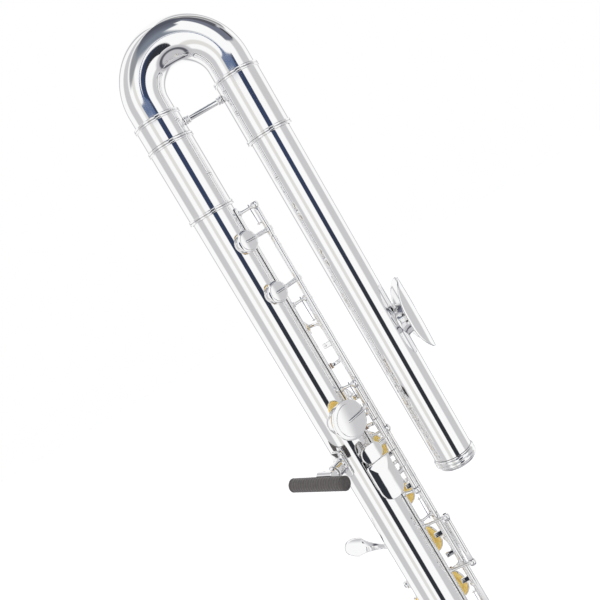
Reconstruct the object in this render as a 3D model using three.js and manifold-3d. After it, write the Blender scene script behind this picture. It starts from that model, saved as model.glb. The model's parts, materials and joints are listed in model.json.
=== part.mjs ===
import * as THREE from 'three';
import { mergeVertices } from 'three/addons/utils/BufferGeometryUtils.js';
import Module from 'manifold-3d';

// Bass flute, in millimetres. The body tube stands on the Z axis, with the foot's open end at zero height.
// The head tube runs beside it on the +X side. The thumb side faces -Y, and the main cups face away from it.
// Angles are in degrees, and turn from +X towards +Y.

const wasm = await Module();
wasm.setup();

// Driving sizes of the tubes
const BODY_RADIUS = 16.5;
const BODY_BORE = 16;
const HEAD_RADIUS = 16;
const HEAD_BORE = 15.5;
const AXIS_SPACING = 66.6;
const SEAT_GAP = 0.3;
const SLEEVE_WALL = 0.8;
const RING_RISE = 0.9;
const RING_WIDTH = 3.4;

// Foot joint: its holes from the open end upwards, and the socket over the body tube
const LOW_C_HOLE = 84;
const LOW_C_SHARP_STEP = 67;
const D_SHARP_STEP = 62;
const FOOT_TUBE_STEP = 21;
const FOOT_SHOULDER = 4;
const FOOT_SOCKET_DEPTH = 24;

// Body joint: each step is the distance from one tone hole up to the next
const D_STEP = 19;
const E_STEP = 51;
const F_STEP = 50;
const F_SHARP_STEP = 48;
const G_LOWER_STEP = 46;
const G_UPPER_STEP = 45;
const A_STEP = 47;
const B_FLAT_STEP = 43;
const THUMB_STEP = 42.5;
const C_SHARP_STEP = 68.5;
const TRILL_LOWER_STEP = 39.5;
const TRILL_UPPER_STEP = 42.5;

// Barrel, bend and head tube
const RIB_END_STEP = 25.5;
const BARREL_STEP = 4;
const BARREL_COVER = 18.5;
const BARREL_LENGTH = 60;
const TENON_COLLAR = 19.5;
const BEND_LEG = 9.5;
const SOCKET_LENGTH = 50.5;
const HEAD_TENON_STEP = 15;
const HEAD_LENGTH = 314;
const EMBOUCHURE_STEP = 109.8;

// Keywork lines: distance from the body axis and direction of each steel rod
const MAIN_LINE = { reach: 29.5, angle: 12, footAngle: 8 };
const TRILL_LINE = { reach: 30.6, angle: -6.6, footAngle: -6 };
const THUMB_LINE = { reach: 29.2, angle: -21, footAngle: -18.5 };
const SIDE_LINE = { reach: 37, angle: -14, footAngle: -14 };
const ROD_RADIUS = 1.1;
const HINGE_BORE = 1.45;
const HINGE_RADIUS = 2.3;
const COLLAR_RADIUS = 3.2;
const TUBE_GAP = 0.4;

// Posts and the ribs that carry them
const BEAD_RADIUS = 3.2;
const BEAD_HALF = 2.4;
const BEAD_NECK = 2.35;
const STEM_RADIUS = 1.3;
const STEM_SINK = 0.6;
const RIB_THICKNESS = 1.2;
const RIB_FROM_ANGLE = -24;
const RIB_TO_ANGLE = 13;
const RING_POST_BORE = 2.85;
const RING_POST_RADIUS = 4.1;

// Cups, pads and chimneys
const RIM_RADIUS = 18.7;
const CHIMNEY_WALL = 0.8;
const CHIMNEY_ROOT = 10;
const PAD_THICKNESS = 3.2;
const CUP_WALL = 0.6;
const CUP_ROOF = 1;
const CUP_DOME = 0.9;
const CUP_SKIRT = 1.6;
const CUP_SHOULDER = 0.6;
const DOME_SHARE = 0.55;
const SHOULDER_SHARE = 0.92;

// Arms from the hinge tubes to the cups
const ARM_WIDTH = 3.4;
const ARM_TIP_WIDTH = 1.6;
const ARM_THICKNESS = 1.7;
const ARM_REACH = 3;
const ARM_SINK = 0.5;

// Directions that the cups face, and how far they stand open at rest
const MAIN_FACE_ANGLE = 60;
const TRILL_FACE_ANGLE = -54.5;
const THUMB_FACE_ANGLE = -68;
const OPEN_ANGLE = 8;
const THUMB_OPEN_ANGLE = 11;

// Cup sizes, by the outer radius of the cup and the radius of its tone hole
const LARGE_CUP = { cup: 15.3, hole: 11 };
const THUMB_CUP = { cup: 15, hole: 10.4 };
const SMALL_CUP = { cup: 8.4, hole: 5.8 };
const G_SHARP_CUP = { cup: 10.8, hole: 7.8 };

// Distances of the posts from the tone holes beside them
const POST_INSET = 3;
const RIB_SETBACK = 2;
const MAIN_POSTS = { aboveCSharp: 23, aboveBFlat: 32 };
const TRILL_POSTS = { aboveUpper: 20.3, ringDrop: 16, ringSetback: 3, aboveD: 11 };
const THUMB_POSTS = { above: 18.5, below: 78.5 };
const SIDE_POSTS = { above: 22.5, below: 20.5 };
const FOOT_POSTS = { aboveDSharp: 15, belowDSharp: 23, belowLowC: 22 };

// Touches that the fingers press
const TOUCH_THICKNESS = 1.5;
const FINGER_TOUCH = { abovePost: 14, radius: 7, reach: 26.5 };
const TRILL_TOUCH = { halfLength: 8, halfWidth: 6, reach: 28.2, faceAngle: 50 };
const TRILL_ARM = { reach: 35.8, width: 3, thickness: 2.4, tubeBelow: 11 };
const TOUCH_INNER = 25.2;
const PLATE_GAP = 0.8;
const THUMB_PLATE = { fromAngle: -84, toAngle: -36, length: 32, lowCorner: 7, highCorner: 1.5 };
const FLAT_PLATE = { fromAngle: -82, toAngle: -40, length: 13.7, lowCorner: 1.5, highCorner: 8.5 };
const PLATE_HOLD_ANGLE = 3;
const THUMB_TUBES = { cupBelow: 12.7, plateBelow: 10.8, flatBelow: 3.1 };
const SIDE_LEAF = { halfLength: 14, reach: 12, thickness: 1.6 };
const FOOT_TOUCH = { length: 17, width: 12, corner: 4, reach: 27.5 };

// Spoon and see-saw lever of the G sharp key
const G_SHARP_LEVER = { angle: 125, cupAngle: 143, pivotReach: 21.4, pivotRise: 23, postSpread: 7.8 };
const G_SHARP_SADDLE = { fromAngle: 94, toAngle: 156, halfLength: 6 };
const G_SHARP_BAR = { topReach: 24.4, topRise: 33, lowReach: 26.4, radius: 1.7 };
const SPOON_RUN = { x: -32, y: -11.7, z: 25.5 };
const SPOON = { neck: 1.7, halfWidth: 7.4, thickness: 1.5, drop: 1.5 };
const SPOON_SHAPE = { shoulderShare: 0.45, widestShare: 0.68 };

// Brace strut between the sleeves
const STRUT_RADIUS = 2.1;
const STRUT_DROP = 11;
const STRUT_COLLAR = { radius: 3.2, length: 4 };

// Lip plate, riser and embouchure hole on the head tube
const PLATE = { offset: 10.2, radius: 20, sag: 0.6, halfLength: 30.3, halfWidth: 18, thickness: 1.2 };
const PLATE_CORNER_SHARE = 0.72;
const RISER = { rootLength: 13.5, rootWidth: 10.5, topLength: 12, topWidth: 9.4, root: 10 };
const BLOW_HOLE = { halfLength: 7.6, halfWidth: 5.9 };

// Crown and stopper
const CROWN = { length: 12.6, dome: 4.6, bead: 17.2, beadSetback: 1, flange: 16.2, tenonLength: 7, wall: 1.5 };
const STOPPER = { screwRadius: 2, screwGap: 1, corkDrop: 29.8, corkLength: 16, plate: 1.5, boreGap: 0.4 };
const CORK_GAP = 0.3;

// Hand rest
const REST_ANGLE = -136;
const REST_DROP = 30.5;
const REST_BASE = { halfAngle: 21, halfLength: 11, thickness: 1.8, bossRadius: 5.6, bossReach: 27 };
const REST_ARM = { neckRadius: 4.8, neckLength: 3.7, blockLength: 15, blockHeight: 10 };
const GRIP = { radius: 5.4, length: 57, standOff: 10.3, nearLength: 22.8, tiltAngle: 4.3, round: 1.2 };

// Facets
const TUBE_SIDES = 18;
const BEND_STEPS = 12;
const HOLE_SIDES = 12;
const CUP_SIDES = 12;
const ROD_SIDES = 8;
const STEM_SIDES = 6;
const PLATE_STEPS = 6;
const RIB_STEPS = 4;
const TRILL_STEPS = 5;
const DOME_STEPS = 3;
const OVAL_SIDES = 16;
const OVERRUN = 2;
const MERGE = 0.0001;

const DEGREE = Math.PI / 180;

// Heights that follow from the steps, from the foot upwards
const LOW_C_SHARP_HOLE = LOW_C_HOLE + LOW_C_SHARP_STEP;
const D_SHARP_HOLE = LOW_C_SHARP_HOLE + D_SHARP_STEP;
const FOOT_SOCKET_LOW = D_SHARP_HOLE + FOOT_TUBE_STEP;
const FOOT_SOCKET_SEAT = FOOT_SOCKET_LOW + FOOT_SHOULDER;
const FOOT_SOCKET_HIGH = FOOT_SOCKET_SEAT + FOOT_SOCKET_DEPTH;
const D_HOLE = FOOT_SOCKET_HIGH + D_STEP;
const E_HOLE = D_HOLE + E_STEP;
const F_HOLE = E_HOLE + F_STEP;
const F_SHARP_HOLE = F_HOLE + F_SHARP_STEP;
const G_LOWER_HOLE = F_SHARP_HOLE + G_LOWER_STEP;
const G_UPPER_HOLE = G_LOWER_HOLE + G_UPPER_STEP;
const A_HOLE = G_UPPER_HOLE + A_STEP;
const B_FLAT_HOLE = A_HOLE + B_FLAT_STEP;
const THUMB_HOLE = B_FLAT_HOLE + THUMB_STEP;
const C_SHARP_HOLE = THUMB_HOLE + C_SHARP_STEP;
const TRILL_LOWER_HOLE = C_SHARP_HOLE + TRILL_LOWER_STEP;
const TRILL_UPPER_HOLE = TRILL_LOWER_HOLE + TRILL_UPPER_STEP;
const RIB_HIGH = TRILL_UPPER_HOLE + RIB_END_STEP;
const BARREL_LOW = RIB_HIGH + BARREL_STEP;
const BODY_TOP = BARREL_LOW + BARREL_COVER;
const BARREL_HIGH = BARREL_LOW + BARREL_LENGTH;
const BEND_LOW = BARREL_HIGH + TENON_COLLAR;
const BEND_CENTRE = BEND_LOW + BEND_LEG;
const SOCKET_LOW = BEND_LOW - SOCKET_LENGTH;
const HEAD_TOP = BEND_LOW - HEAD_TENON_STEP;
const HEAD_END = HEAD_TOP - HEAD_LENGTH;
const EMBOUCHURE_HEIGHT = HEAD_END + EMBOUCHURE_STEP;
const STRUT_HEIGHT = BEND_LOW - STRUT_DROP;
const REST_HEIGHT = THUMB_HOLE - REST_DROP;

// Heights of the posts
const RIB_LOW = FOOT_SOCKET_HIGH + RIB_SETBACK;
const MAIN_POST_TOP = C_SHARP_HOLE + MAIN_POSTS.aboveCSharp;
const MAIN_POST_HAND = B_FLAT_HOLE + MAIN_POSTS.aboveBFlat;
const MAIN_POST_A = (A_HOLE + G_UPPER_HOLE) / 2;
const MAIN_POST_G = (G_LOWER_HOLE + F_SHARP_HOLE) / 2;
const MAIN_POST_F = (F_SHARP_HOLE + F_HOLE) / 2;
const MAIN_POST_LOW = RIB_LOW + POST_INSET;
const TRILL_POST_TOP = TRILL_UPPER_HOLE + TRILL_POSTS.aboveUpper;
const TRILL_RING_HIGH = MAIN_POST_HAND - TRILL_POSTS.ringDrop;
const TRILL_RING_LOW = MAIN_POST_G - TRILL_POSTS.ringSetback;
const TRILL_POST_LOW = D_HOLE + TRILL_POSTS.aboveD;
const THUMB_POST_TOP = THUMB_HOLE + THUMB_POSTS.above;
const THUMB_POST_LOW = THUMB_HOLE - THUMB_POSTS.below;
const SIDE_POST_TOP = G_UPPER_HOLE + SIDE_POSTS.above;
const SIDE_POST_LOW = G_UPPER_HOLE - SIDE_POSTS.below;
const FOOT_POST_HIGH = D_SHARP_HOLE + FOOT_POSTS.aboveDSharp;
const FOOT_POST_MIDDLE = D_SHARP_HOLE - FOOT_POSTS.belowDSharp;
const FOOT_POST_LOW = LOW_C_HOLE - FOOT_POSTS.belowLowC;
const FOOT_RIB_HIGH = FOOT_POST_HIGH + POST_INSET;
const FOOT_RIB_LOW = FOOT_POST_LOW - POST_INSET;

// Finishes
const silver = new THREE.MeshStandardMaterial({ color: 0xf0f1f4, roughness: 0.12, metalness: 1 });
const satinSilver = new THREE.MeshStandardMaterial({ color: 0xe4e6ea, roughness: 0.22, metalness: 1 });
const steel = new THREE.MeshStandardMaterial({ color: 0xb9bcc2, roughness: 0.28, metalness: 1 });
const padSkin = new THREE.MeshStandardMaterial({ color: 0xe3b04a, roughness: 0.7, metalness: 0 });
const corkBrown = new THREE.MeshStandardMaterial({ color: 0xb98a58, roughness: 0.9, metalness: 0 });
const blackGrip = new THREE.MeshStandardMaterial({ color: 0x2b2c2f, roughness: 0.55, metalness: 0 });

const flute = new THREE.Group();
const headSide = new THREE.Group();
headSide.position.set(AXIS_SPACING, 0, 0);
flute.add(headSide);

// Solids from closed geometries

function signedVolume(places, corners) {
  let volume = 0;
  const [a, b, c] = [new THREE.Vector3(), new THREE.Vector3(), new THREE.Vector3()];
  for (let i = 0; i < corners.length; i += 3) {
    a.fromArray(places, corners[i] * 3);
    b.fromArray(places, corners[i + 1] * 3);
    c.fromArray(places, corners[i + 2] * 3);
    volume += a.dot(b.cross(c));
  }
  return volume;
}

function solidOf(geometry) {
  geometry.deleteAttribute('normal');
  geometry.deleteAttribute('uv');
  const joined = mergeVertices(geometry, MERGE);
  const places = Float32Array.from(joined.attributes.position.array);
  const corners = [];
  for (let i = 0; i < joined.index.count; i += 3) {
    const [a, b, c] = [joined.index.getX(i), joined.index.getX(i + 1), joined.index.getX(i + 2)];
    if (a !== b && b !== c && c !== a) corners.push(a, b, c);
  }
  if (signedVolume(places, corners) < 0) corners.reverse();
  const triVerts = Uint32Array.from(corners);
  return new wasm.Manifold(new wasm.Mesh({ numProp: 3, vertProperties: places, triVerts }));
}

function geometryOf(solid) {
  const mesh = solid.getMesh();
  const geometry = new THREE.BufferGeometry();
  geometry.setAttribute('position', new THREE.BufferAttribute(mesh.vertProperties, mesh.numProp));
  geometry.setIndex(new THREE.BufferAttribute(mesh.triVerts, 1));
  geometry.computeVertexNormals();
  return geometry;
}

function joined(solids) {
  return solids.reduce((whole, solid) => whole.add(solid));
}

function addPiece(parent, name, solid, material) {
  const piece = new THREE.Mesh(geometryOf(solid), material);
  piece.name = name;
  parent.add(piece);
  return piece;
}

// Basic forms

// Round bar along Z between two heights
function rodAlong(radius, low, high, sides = ROD_SIDES) {
  const geometry = new THREE.CylinderGeometry(radius, radius, high - low, sides);
  geometry.rotateX(Math.PI / 2);
  geometry.translate(0, 0, (low + high) / 2);
  return solidOf(geometry);
}

// Ring or revolved form about Z, from [radius, height] points
function turned(points, sides = TUBE_SIDES) {
  const profile = points.map(([radius, height]) => new THREE.Vector2(radius, height));
  const geometry = new THREE.LatheGeometry(profile, sides);
  geometry.rotateX(Math.PI / 2);
  return solidOf(geometry);
}

function closedRing(points, sides = TUBE_SIDES) {
  return turned([...points, points[0]], sides);
}

// Outline in X and Y, carried up Z between two heights
function prism(shape, low, high) {
  const geometry = new THREE.ExtrudeGeometry(shape, { depth: high - low, bevelEnabled: false, steps: 1 });
  geometry.translate(0, 0, low);
  return solidOf(geometry);
}

// Outline in X and Z, carried along Y between two distances
function crossPrism(shape, near, far) {
  const geometry = new THREE.ExtrudeGeometry(shape, { depth: far - near, bevelEnabled: false, steps: 1 });
  geometry.rotateX(Math.PI / 2);
  geometry.translate(0, far, 0);
  return solidOf(geometry);
}

// Round bar from one point to another
function bar(from, to, radius, sides = STEM_SIDES) {
  const line = new THREE.Vector3().subVectors(to, from);
  const geometry = new THREE.CylinderGeometry(radius, radius, line.length(), sides);
  const turn = new THREE.Quaternion().setFromUnitVectors(new THREE.Vector3(0, 1, 0), line.normalize());
  geometry.applyQuaternion(turn);
  const middle = new THREE.Vector3().addVectors(from, to).multiplyScalar(1 / 2);
  geometry.translate(middle.x, middle.y, middle.z);
  return solidOf(geometry);
}

// Round bar that points outwards along Y at one height
function outwardRod(radius, near, far, height, sides) {
  const geometry = new THREE.CylinderGeometry(radius, radius, far - near, sides);
  geometry.translate(0, (near + far) / 2, height);
  return solidOf(geometry);
}

function polygon(points) {
  return new THREE.Shape(points.map(([x, y]) => new THREE.Vector2(x, y)));
}

function arcPoints(radius, from, to, steps) {
  const points = [];
  for (let i = 0; i <= steps; i += 1) points.push(onCircle(radius, from + ((to - from) * i) / steps));
  return points;
}

// Sector of a ring about Z, seen from above
function sector(inner, outer, from, to, steps) {
  return polygon([...arcPoints(outer, from, to, steps), ...arcPoints(inner, to, from, steps)]);
}

// Plate outline with rounded corners, which may differ at its low and high ends
function roundedOutline(halfWidth, low, high, lowCorner, highCorner = lowCorner) {
  const shape = new THREE.Shape();
  shape.moveTo(lowCorner - halfWidth, low);
  shape.lineTo(halfWidth - lowCorner, low);
  shape.quadraticCurveTo(halfWidth, low, halfWidth, low + lowCorner);
  shape.lineTo(halfWidth, high - highCorner);
  shape.quadraticCurveTo(halfWidth, high, halfWidth - highCorner, high);
  shape.lineTo(highCorner - halfWidth, high);
  shape.quadraticCurveTo(-halfWidth, high, -halfWidth, high - highCorner);
  shape.lineTo(-halfWidth, low + lowCorner);
  shape.quadraticCurveTo(-halfWidth, low, lowCorner - halfWidth, low);
  return new THREE.Shape(shape.getPoints(PLATE_STEPS / 2));
}

function onCircle(radius, angle) {
  return [radius * Math.cos(angle * DEGREE), radius * Math.sin(angle * DEGREE)];
}

function pointAt(radius, angle, height) {
  const [x, y] = onCircle(radius, angle);
  return new THREE.Vector3(x, y, height);
}

// Turns a form built facing +Y so that it faces the given angle
function facing(solid, angle) {
  return solid.rotate([0, 0, angle - 90]);
}

// Main tubes

// Tube with a soldered ring at its low end, its high end or both
function sleeveProfile(bore, outer, low, high, ringLow, ringHigh) {
  const ring = outer + RING_RISE;
  const points = [[bore, low]];
  if (ringLow) points.push([ring, low], [ring, low + RING_WIDTH]);
  points.push([outer, ringLow ? low + RING_WIDTH : low]);
  points.push([outer, ringHigh ? high - RING_WIDTH : high]);
  if (ringHigh) points.push([ring, high - RING_WIDTH], [ring, high]);
  points.push([bore, high]);
  return points;
}

// Chimney that stands on a tube round a tone hole, and the hole itself
function chimney(hole, height, angle) {
  const outer = outwardRod(hole + CHIMNEY_WALL, CHIMNEY_ROOT, RIM_RADIUS, height, HOLE_SIDES);
  const inner = outwardRod(hole, 0, RIM_RADIUS + OVERRUN, height, HOLE_SIDES);
  return { wall: facing(outer, angle), hole: facing(inner, angle) };
}

function tubeWithChimneys(outer, bore, low, high, places) {
  const chimneys = places.map(([hole, height, angle]) => chimney(hole, height, angle));
  const walls = joined([outer, ...chimneys.map((part) => part.wall)]);
  const air = rodAlong(bore, low - OVERRUN, high + OVERRUN, TUBE_SIDES);
  return walls.subtract(joined([air, ...chimneys.map((part) => part.hole)]));
}

const socketBore = BODY_RADIUS + SEAT_GAP;
const socketOuter = socketBore + SLEEVE_WALL;

function bodyTube() {
  const low = FOOT_SOCKET_SEAT + SEAT_GAP;
  const main = [B_FLAT_HOLE, A_HOLE, G_UPPER_HOLE, G_LOWER_HOLE, F_SHARP_HOLE, F_HOLE, E_HOLE, D_HOLE];
  const places = main.map((height) => [LARGE_CUP.hole, height, MAIN_FACE_ANGLE]);
  places.push([SMALL_CUP.hole, C_SHARP_HOLE, MAIN_FACE_ANGLE]);
  places.push([SMALL_CUP.hole, TRILL_UPPER_HOLE, TRILL_FACE_ANGLE]);
  places.push([SMALL_CUP.hole, TRILL_LOWER_HOLE, TRILL_FACE_ANGLE]);
  places.push([THUMB_CUP.hole, THUMB_HOLE, THUMB_FACE_ANGLE]);
  places.push([G_SHARP_CUP.hole, G_LOWER_HOLE, G_SHARP_LEVER.cupAngle]);
  const outer = rodAlong(BODY_RADIUS, low, BODY_TOP, TUBE_SIDES);
  return tubeWithChimneys(outer, BODY_BORE, low, BODY_TOP, places);
}

// Foot tube with an open end ring, and a socket over the lower end of the body tube
function footTube() {
  const endRing = BODY_RADIUS + RING_RISE;
  const socketRing = socketOuter + RING_RISE;
  const outer = turned([
    [0, 0],
    [endRing, 0],
    [endRing, RING_WIDTH],
    [BODY_RADIUS, RING_WIDTH],
    [BODY_RADIUS, FOOT_SOCKET_LOW],
    [socketOuter, FOOT_SOCKET_LOW],
    [socketOuter, FOOT_SOCKET_HIGH - RING_WIDTH],
    [socketRing, FOOT_SOCKET_HIGH - RING_WIDTH],
    [socketRing, FOOT_SOCKET_HIGH],
    [0, FOOT_SOCKET_HIGH],
  ]);
  const holes = [D_SHARP_HOLE, LOW_C_SHARP_HOLE, LOW_C_HOLE];
  const places = holes.map((height) => [LARGE_CUP.hole, height, MAIN_FACE_ANGLE]);
  const tube = tubeWithChimneys(outer, BODY_BORE, 0, FOOT_SOCKET_HIGH, places);
  return tube.subtract(rodAlong(socketBore, FOOT_SOCKET_SEAT, FOOT_SOCKET_HIGH + OVERRUN, TUBE_SIDES));
}

function barrel() {
  return closedRing(sleeveProfile(socketBore, socketOuter, BARREL_LOW, BARREL_HIGH, true, true));
}

// Tenon that slides into the barrel, with a collar of the barrel's size above it
function bendTenonSleeve() {
  const ring = socketOuter + RING_RISE;
  const high = BEND_LOW - SEAT_GAP;
  return closedRing([
    [BODY_BORE, BODY_TOP + SEAT_GAP],
    [BODY_RADIUS, BODY_TOP + SEAT_GAP],
    [BODY_RADIUS, BARREL_HIGH + SEAT_GAP],
    [socketOuter, BARREL_HIGH + SEAT_GAP],
    [socketOuter, high - RING_WIDTH],
    [ring, high - RING_WIDTH],
    [ring, high],
    [BODY_BORE, high],
  ]);
}

function bendSocketSleeve() {
  const bore = HEAD_RADIUS + SEAT_GAP;
  return closedRing(sleeveProfile(bore, socketOuter, SOCKET_LOW, BEND_LOW - SEAT_GAP, true, true));
}

// Half circle over the two tubes, with a short straight leg at each end
class BendLine extends THREE.Curve {
  getPoint(share, target = new THREE.Vector3()) {
    const radius = AXIS_SPACING / 2;
    const leg = BEND_CENTRE - BEND_LOW;
    const arc = Math.PI * radius;
    const run = share * (leg + leg + arc);
    if (run < leg) return target.set(0, 0, BEND_LOW + run);
    if (run > leg + arc) return target.set(AXIS_SPACING, 0, BEND_CENTRE - (run - leg - arc));
    const turn = (run - leg) / radius;
    return target.set(radius - radius * Math.cos(turn), 0, BEND_CENTRE + radius * Math.sin(turn));
  }
}

function uBend() {
  const wall = new THREE.Shape();
  wall.absarc(0, 0, BODY_RADIUS, 0, Math.PI * 2, false);
  const bore = new THREE.Path();
  bore.absarc(0, 0, BODY_BORE, 0, Math.PI * 2, true);
  wall.holes.push(bore);
  const sides = { curveSegments: TUBE_SIDES / 2, bevelEnabled: false };
  const settings = { ...sides, steps: BEND_STEPS, extrudePath: new BendLine() };
  return solidOf(new THREE.ExtrudeGeometry(wall, settings));
}

function braceStrut() {
  const near = socketOuter + SEAT_GAP;
  const far = AXIS_SPACING - socketOuter - SEAT_GAP;
  const at = (x) => new THREE.Vector3(x, 0, STRUT_HEIGHT);
  return joined([
    bar(at(near), at(far), STRUT_RADIUS, ROD_SIDES),
    bar(at(near), at(near + STRUT_COLLAR.length), STRUT_COLLAR.radius, ROD_SIDES),
    bar(at(far - STRUT_COLLAR.length), at(far), STRUT_COLLAR.radius, ROD_SIDES),
  ]);
}

// Head tube and what it carries, about the head tube's own axis

// Fraction of a half axis, drawn out towards the corners of an oval: 1 keeps the plain ellipse
function towardsCorner(fraction, cornerShare) {
  return Math.sign(fraction) * Math.abs(fraction) ** cornerShare;
}

// Straight bar along X with an oval section, narrower at the far end if its sizes differ
function ovalBar(nearX, farX, nearLength, nearWidth, farLength, farWidth, cornerShare = 1) {
  const geometry = new THREE.CylinderGeometry(1, 1, farX - nearX, OVAL_SIDES);
  const places = geometry.attributes.position;
  for (let i = 0; i < places.count; i += 1) {
    const share = 1 / 2 + places.getY(i) / (farX - nearX);
    const halfWidth = nearWidth + (farWidth - nearWidth) * share;
    const halfLength = nearLength + (farLength - nearLength) * share;
    const y = halfWidth * towardsCorner(places.getX(i), cornerShare);
    const z = halfLength * towardsCorner(places.getZ(i), cornerShare);
    places.setXYZ(i, nearX + (farX - nearX) * share, y, z);
  }
  geometry.translate(0, 0, EMBOUCHURE_HEIGHT);
  return solidOf(geometry);
}

function blowHole() {
  const { halfLength, halfWidth } = BLOW_HOLE;
  const far = PLATE.offset + PLATE.radius + OVERRUN;
  return ovalBar(0, far, halfLength, halfWidth, halfLength, halfWidth);
}

// Barrel-shaped bound of the lip plate, thinner by the given inset
function plateBound(inset) {
  const points = [];
  const reach = PLATE.halfLength + OVERRUN;
  for (let i = 0; i <= PLATE_STEPS; i += 1) {
    const height = reach * ((2 * i) / PLATE_STEPS - 1);
    const radius = PLATE.radius - PLATE.sag * (height / PLATE.halfLength) ** 2 - inset;
    points.push([radius, EMBOUCHURE_HEIGHT + height]);
  }
  const low = [0, EMBOUCHURE_HEIGHT - reach];
  const high = [0, EMBOUCHURE_HEIGHT + reach];
  return turned([low, ...points, high], TUBE_SIDES).translate([PLATE.offset, 0, 0]);
}

function lipPlate() {
  const far = PLATE.offset + PLATE.radius + OVERRUN;
  const { offset, halfLength, halfWidth } = PLATE;
  const outline = ovalBar(offset, far, halfLength, halfWidth, halfLength, halfWidth, PLATE_CORNER_SHARE);
  return plateBound(0).subtract(plateBound(PLATE.thickness)).intersect(outline).subtract(blowHole());
}

function embouchureRiser() {
  const far = PLATE.offset + PLATE.radius;
  const { root, rootLength, rootWidth, topLength, topWidth } = RISER;
  const block = ovalBar(root, far, rootLength, rootWidth, topLength, topWidth);
  const low = EMBOUCHURE_HEIGHT - PLATE.halfLength;
  const high = EMBOUCHURE_HEIGHT + PLATE.halfLength;
  const tube = rodAlong(HEAD_RADIUS + SEAT_GAP, low, high, TUBE_SIDES);
  return block.intersect(plateBound(PLATE.thickness + SEAT_GAP)).subtract(tube).subtract(blowHole());
}

function headTube() {
  const wall = closedRing(sleeveProfile(HEAD_BORE, HEAD_RADIUS, HEAD_END, HEAD_TOP, false, false));
  return wall.subtract(blowHole());
}

// Points of a dome's outline from its middle out, short of its edge
function domePoints(radius, low, rise) {
  const points = [];
  for (let i = 0; i < DOME_STEPS; i += 1) {
    const angle = (Math.PI / 2) * (i / DOME_STEPS);
    points.push([radius * Math.sin(angle), low + rise * (1 - Math.cos(angle))]);
  }
  return points;
}

function crownCap() {
  const tenon = HEAD_BORE - SEAT_GAP;
  const top = HEAD_END - SEAT_GAP;
  const low = HEAD_END - CROWN.length;
  const beadLow = low + CROWN.dome;
  const beadHigh = HEAD_END - CROWN.beadSetback;
  const round = (beadHigh - beadLow) / 4;
  const outer = turned([
    ...domePoints(CROWN.flange, low, CROWN.dome),
    [CROWN.flange, beadLow],
    [CROWN.bead, beadLow + round],
    [CROWN.bead, beadHigh - round],
    [CROWN.flange, beadHigh],
    [CROWN.flange, top],
    [tenon, top],
    [tenon, top + CROWN.tenonLength],
    [0, top + CROWN.tenonLength],
  ]);
  return outer.subtract(rodAlong(STOPPER.screwRadius + SEAT_GAP, beadLow + CROWN.wall, HEAD_TOP));
}

// Threaded rod with the face plate above the cork and the nut plate below it
function stopperScrew() {
  const plate = HEAD_BORE - CORK_GAP;
  const { screwRadius, screwGap, corkDrop, corkLength } = STOPPER;
  const screwLow = HEAD_END - CROWN.length + CROWN.dome + CROWN.wall + screwGap;
  const corkHigh = EMBOUCHURE_HEIGHT - corkDrop;
  const nutHigh = corkHigh - corkLength - SEAT_GAP;
  const faceLow = corkHigh + SEAT_GAP;
  return joined([
    rodAlong(screwRadius, screwLow, faceLow + STOPPER.plate / 2),
    rodAlong(plate, nutHigh - STOPPER.plate, nutHigh, TUBE_SIDES),
    rodAlong(plate, faceLow, faceLow + STOPPER.plate, TUBE_SIDES),
  ]);
}

function stopperCork() {
  const outer = HEAD_BORE - CORK_GAP;
  const bore = STOPPER.screwRadius + STOPPER.boreGap;
  const high = EMBOUCHURE_HEIGHT - STOPPER.corkDrop;
  const low = high - STOPPER.corkLength;
  return closedRing([[bore, low], [outer, low], [outer, high], [bore, high]]);
}

// Ribs, posts and rods

const ribInner = BODY_RADIUS + SEAT_GAP;
const ribOuter = ribInner + RIB_THICKNESS;

function bead(bore, radius, height) {
  const neck = radius - (BEAD_RADIUS - BEAD_NECK);
  const points = [[bore, -BEAD_HALF], [neck, -BEAD_HALF], [radius, 0], [neck, BEAD_HALF], [bore, BEAD_HALF]];
  return closedRing(points, ROD_SIDES).translate([0, 0, height]);
}

// Ball post on a rib, with its bore on the given line
function post(line, height, bore = HINGE_BORE, radius = BEAD_RADIUS) {
  const [x, y] = onCircle(line.reach, line.angle);
  const foot = pointAt(ribOuter - STEM_SINK, line.footAngle, height);
  const head = pointAt(line.reach, line.angle, height);
  const side = (bore + radius) / 2 / head.distanceTo(foot);
  head.lerp(foot, side);
  return joined([bead(bore, radius, height).translate([x, y, 0]), bar(foot, head, STEM_RADIUS)]);
}

function rib(low, high, posts) {
  const strap = prism(sector(ribInner, ribOuter, RIB_FROM_ANGLE, RIB_TO_ANGLE, RIB_STEPS), low, high);
  return joined([strap, ...posts]);
}

function mainRib() {
  const main = [MAIN_POST_TOP, MAIN_POST_HAND, MAIN_POST_A, MAIN_POST_G, MAIN_POST_F, MAIN_POST_LOW];
  const posts = main.map((height) => post(MAIN_LINE, height));
  posts.push(post(TRILL_LINE, TRILL_POST_TOP), post(TRILL_LINE, TRILL_POST_LOW));
  posts.push(post(TRILL_LINE, TRILL_RING_HIGH, RING_POST_BORE, RING_POST_RADIUS));
  posts.push(post(TRILL_LINE, TRILL_RING_LOW, RING_POST_BORE, RING_POST_RADIUS));
  posts.push(post(THUMB_LINE, THUMB_POST_TOP), post(THUMB_LINE, THUMB_POST_LOW));
  posts.push(post(SIDE_LINE, SIDE_POST_TOP), post(SIDE_LINE, SIDE_POST_LOW));
  return rib(RIB_LOW, RIB_HIGH, posts);
}

function footRib() {
  const posts = [FOOT_POST_HIGH, FOOT_POST_MIDDLE, FOOT_POST_LOW].map((height) => post(MAIN_LINE, height));
  return rib(FOOT_RIB_LOW, FOOT_RIB_HIGH, posts);
}

function lineRod(line, low, high) {
  const [x, y] = onCircle(line.reach, line.angle);
  return rodAlong(ROD_RADIUS, low - BEAD_HALF, high + BEAD_HALF).translate([x, y, 0]);
}

// Keys, built about their own hinge with the cup's outward direction along +Y

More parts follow.
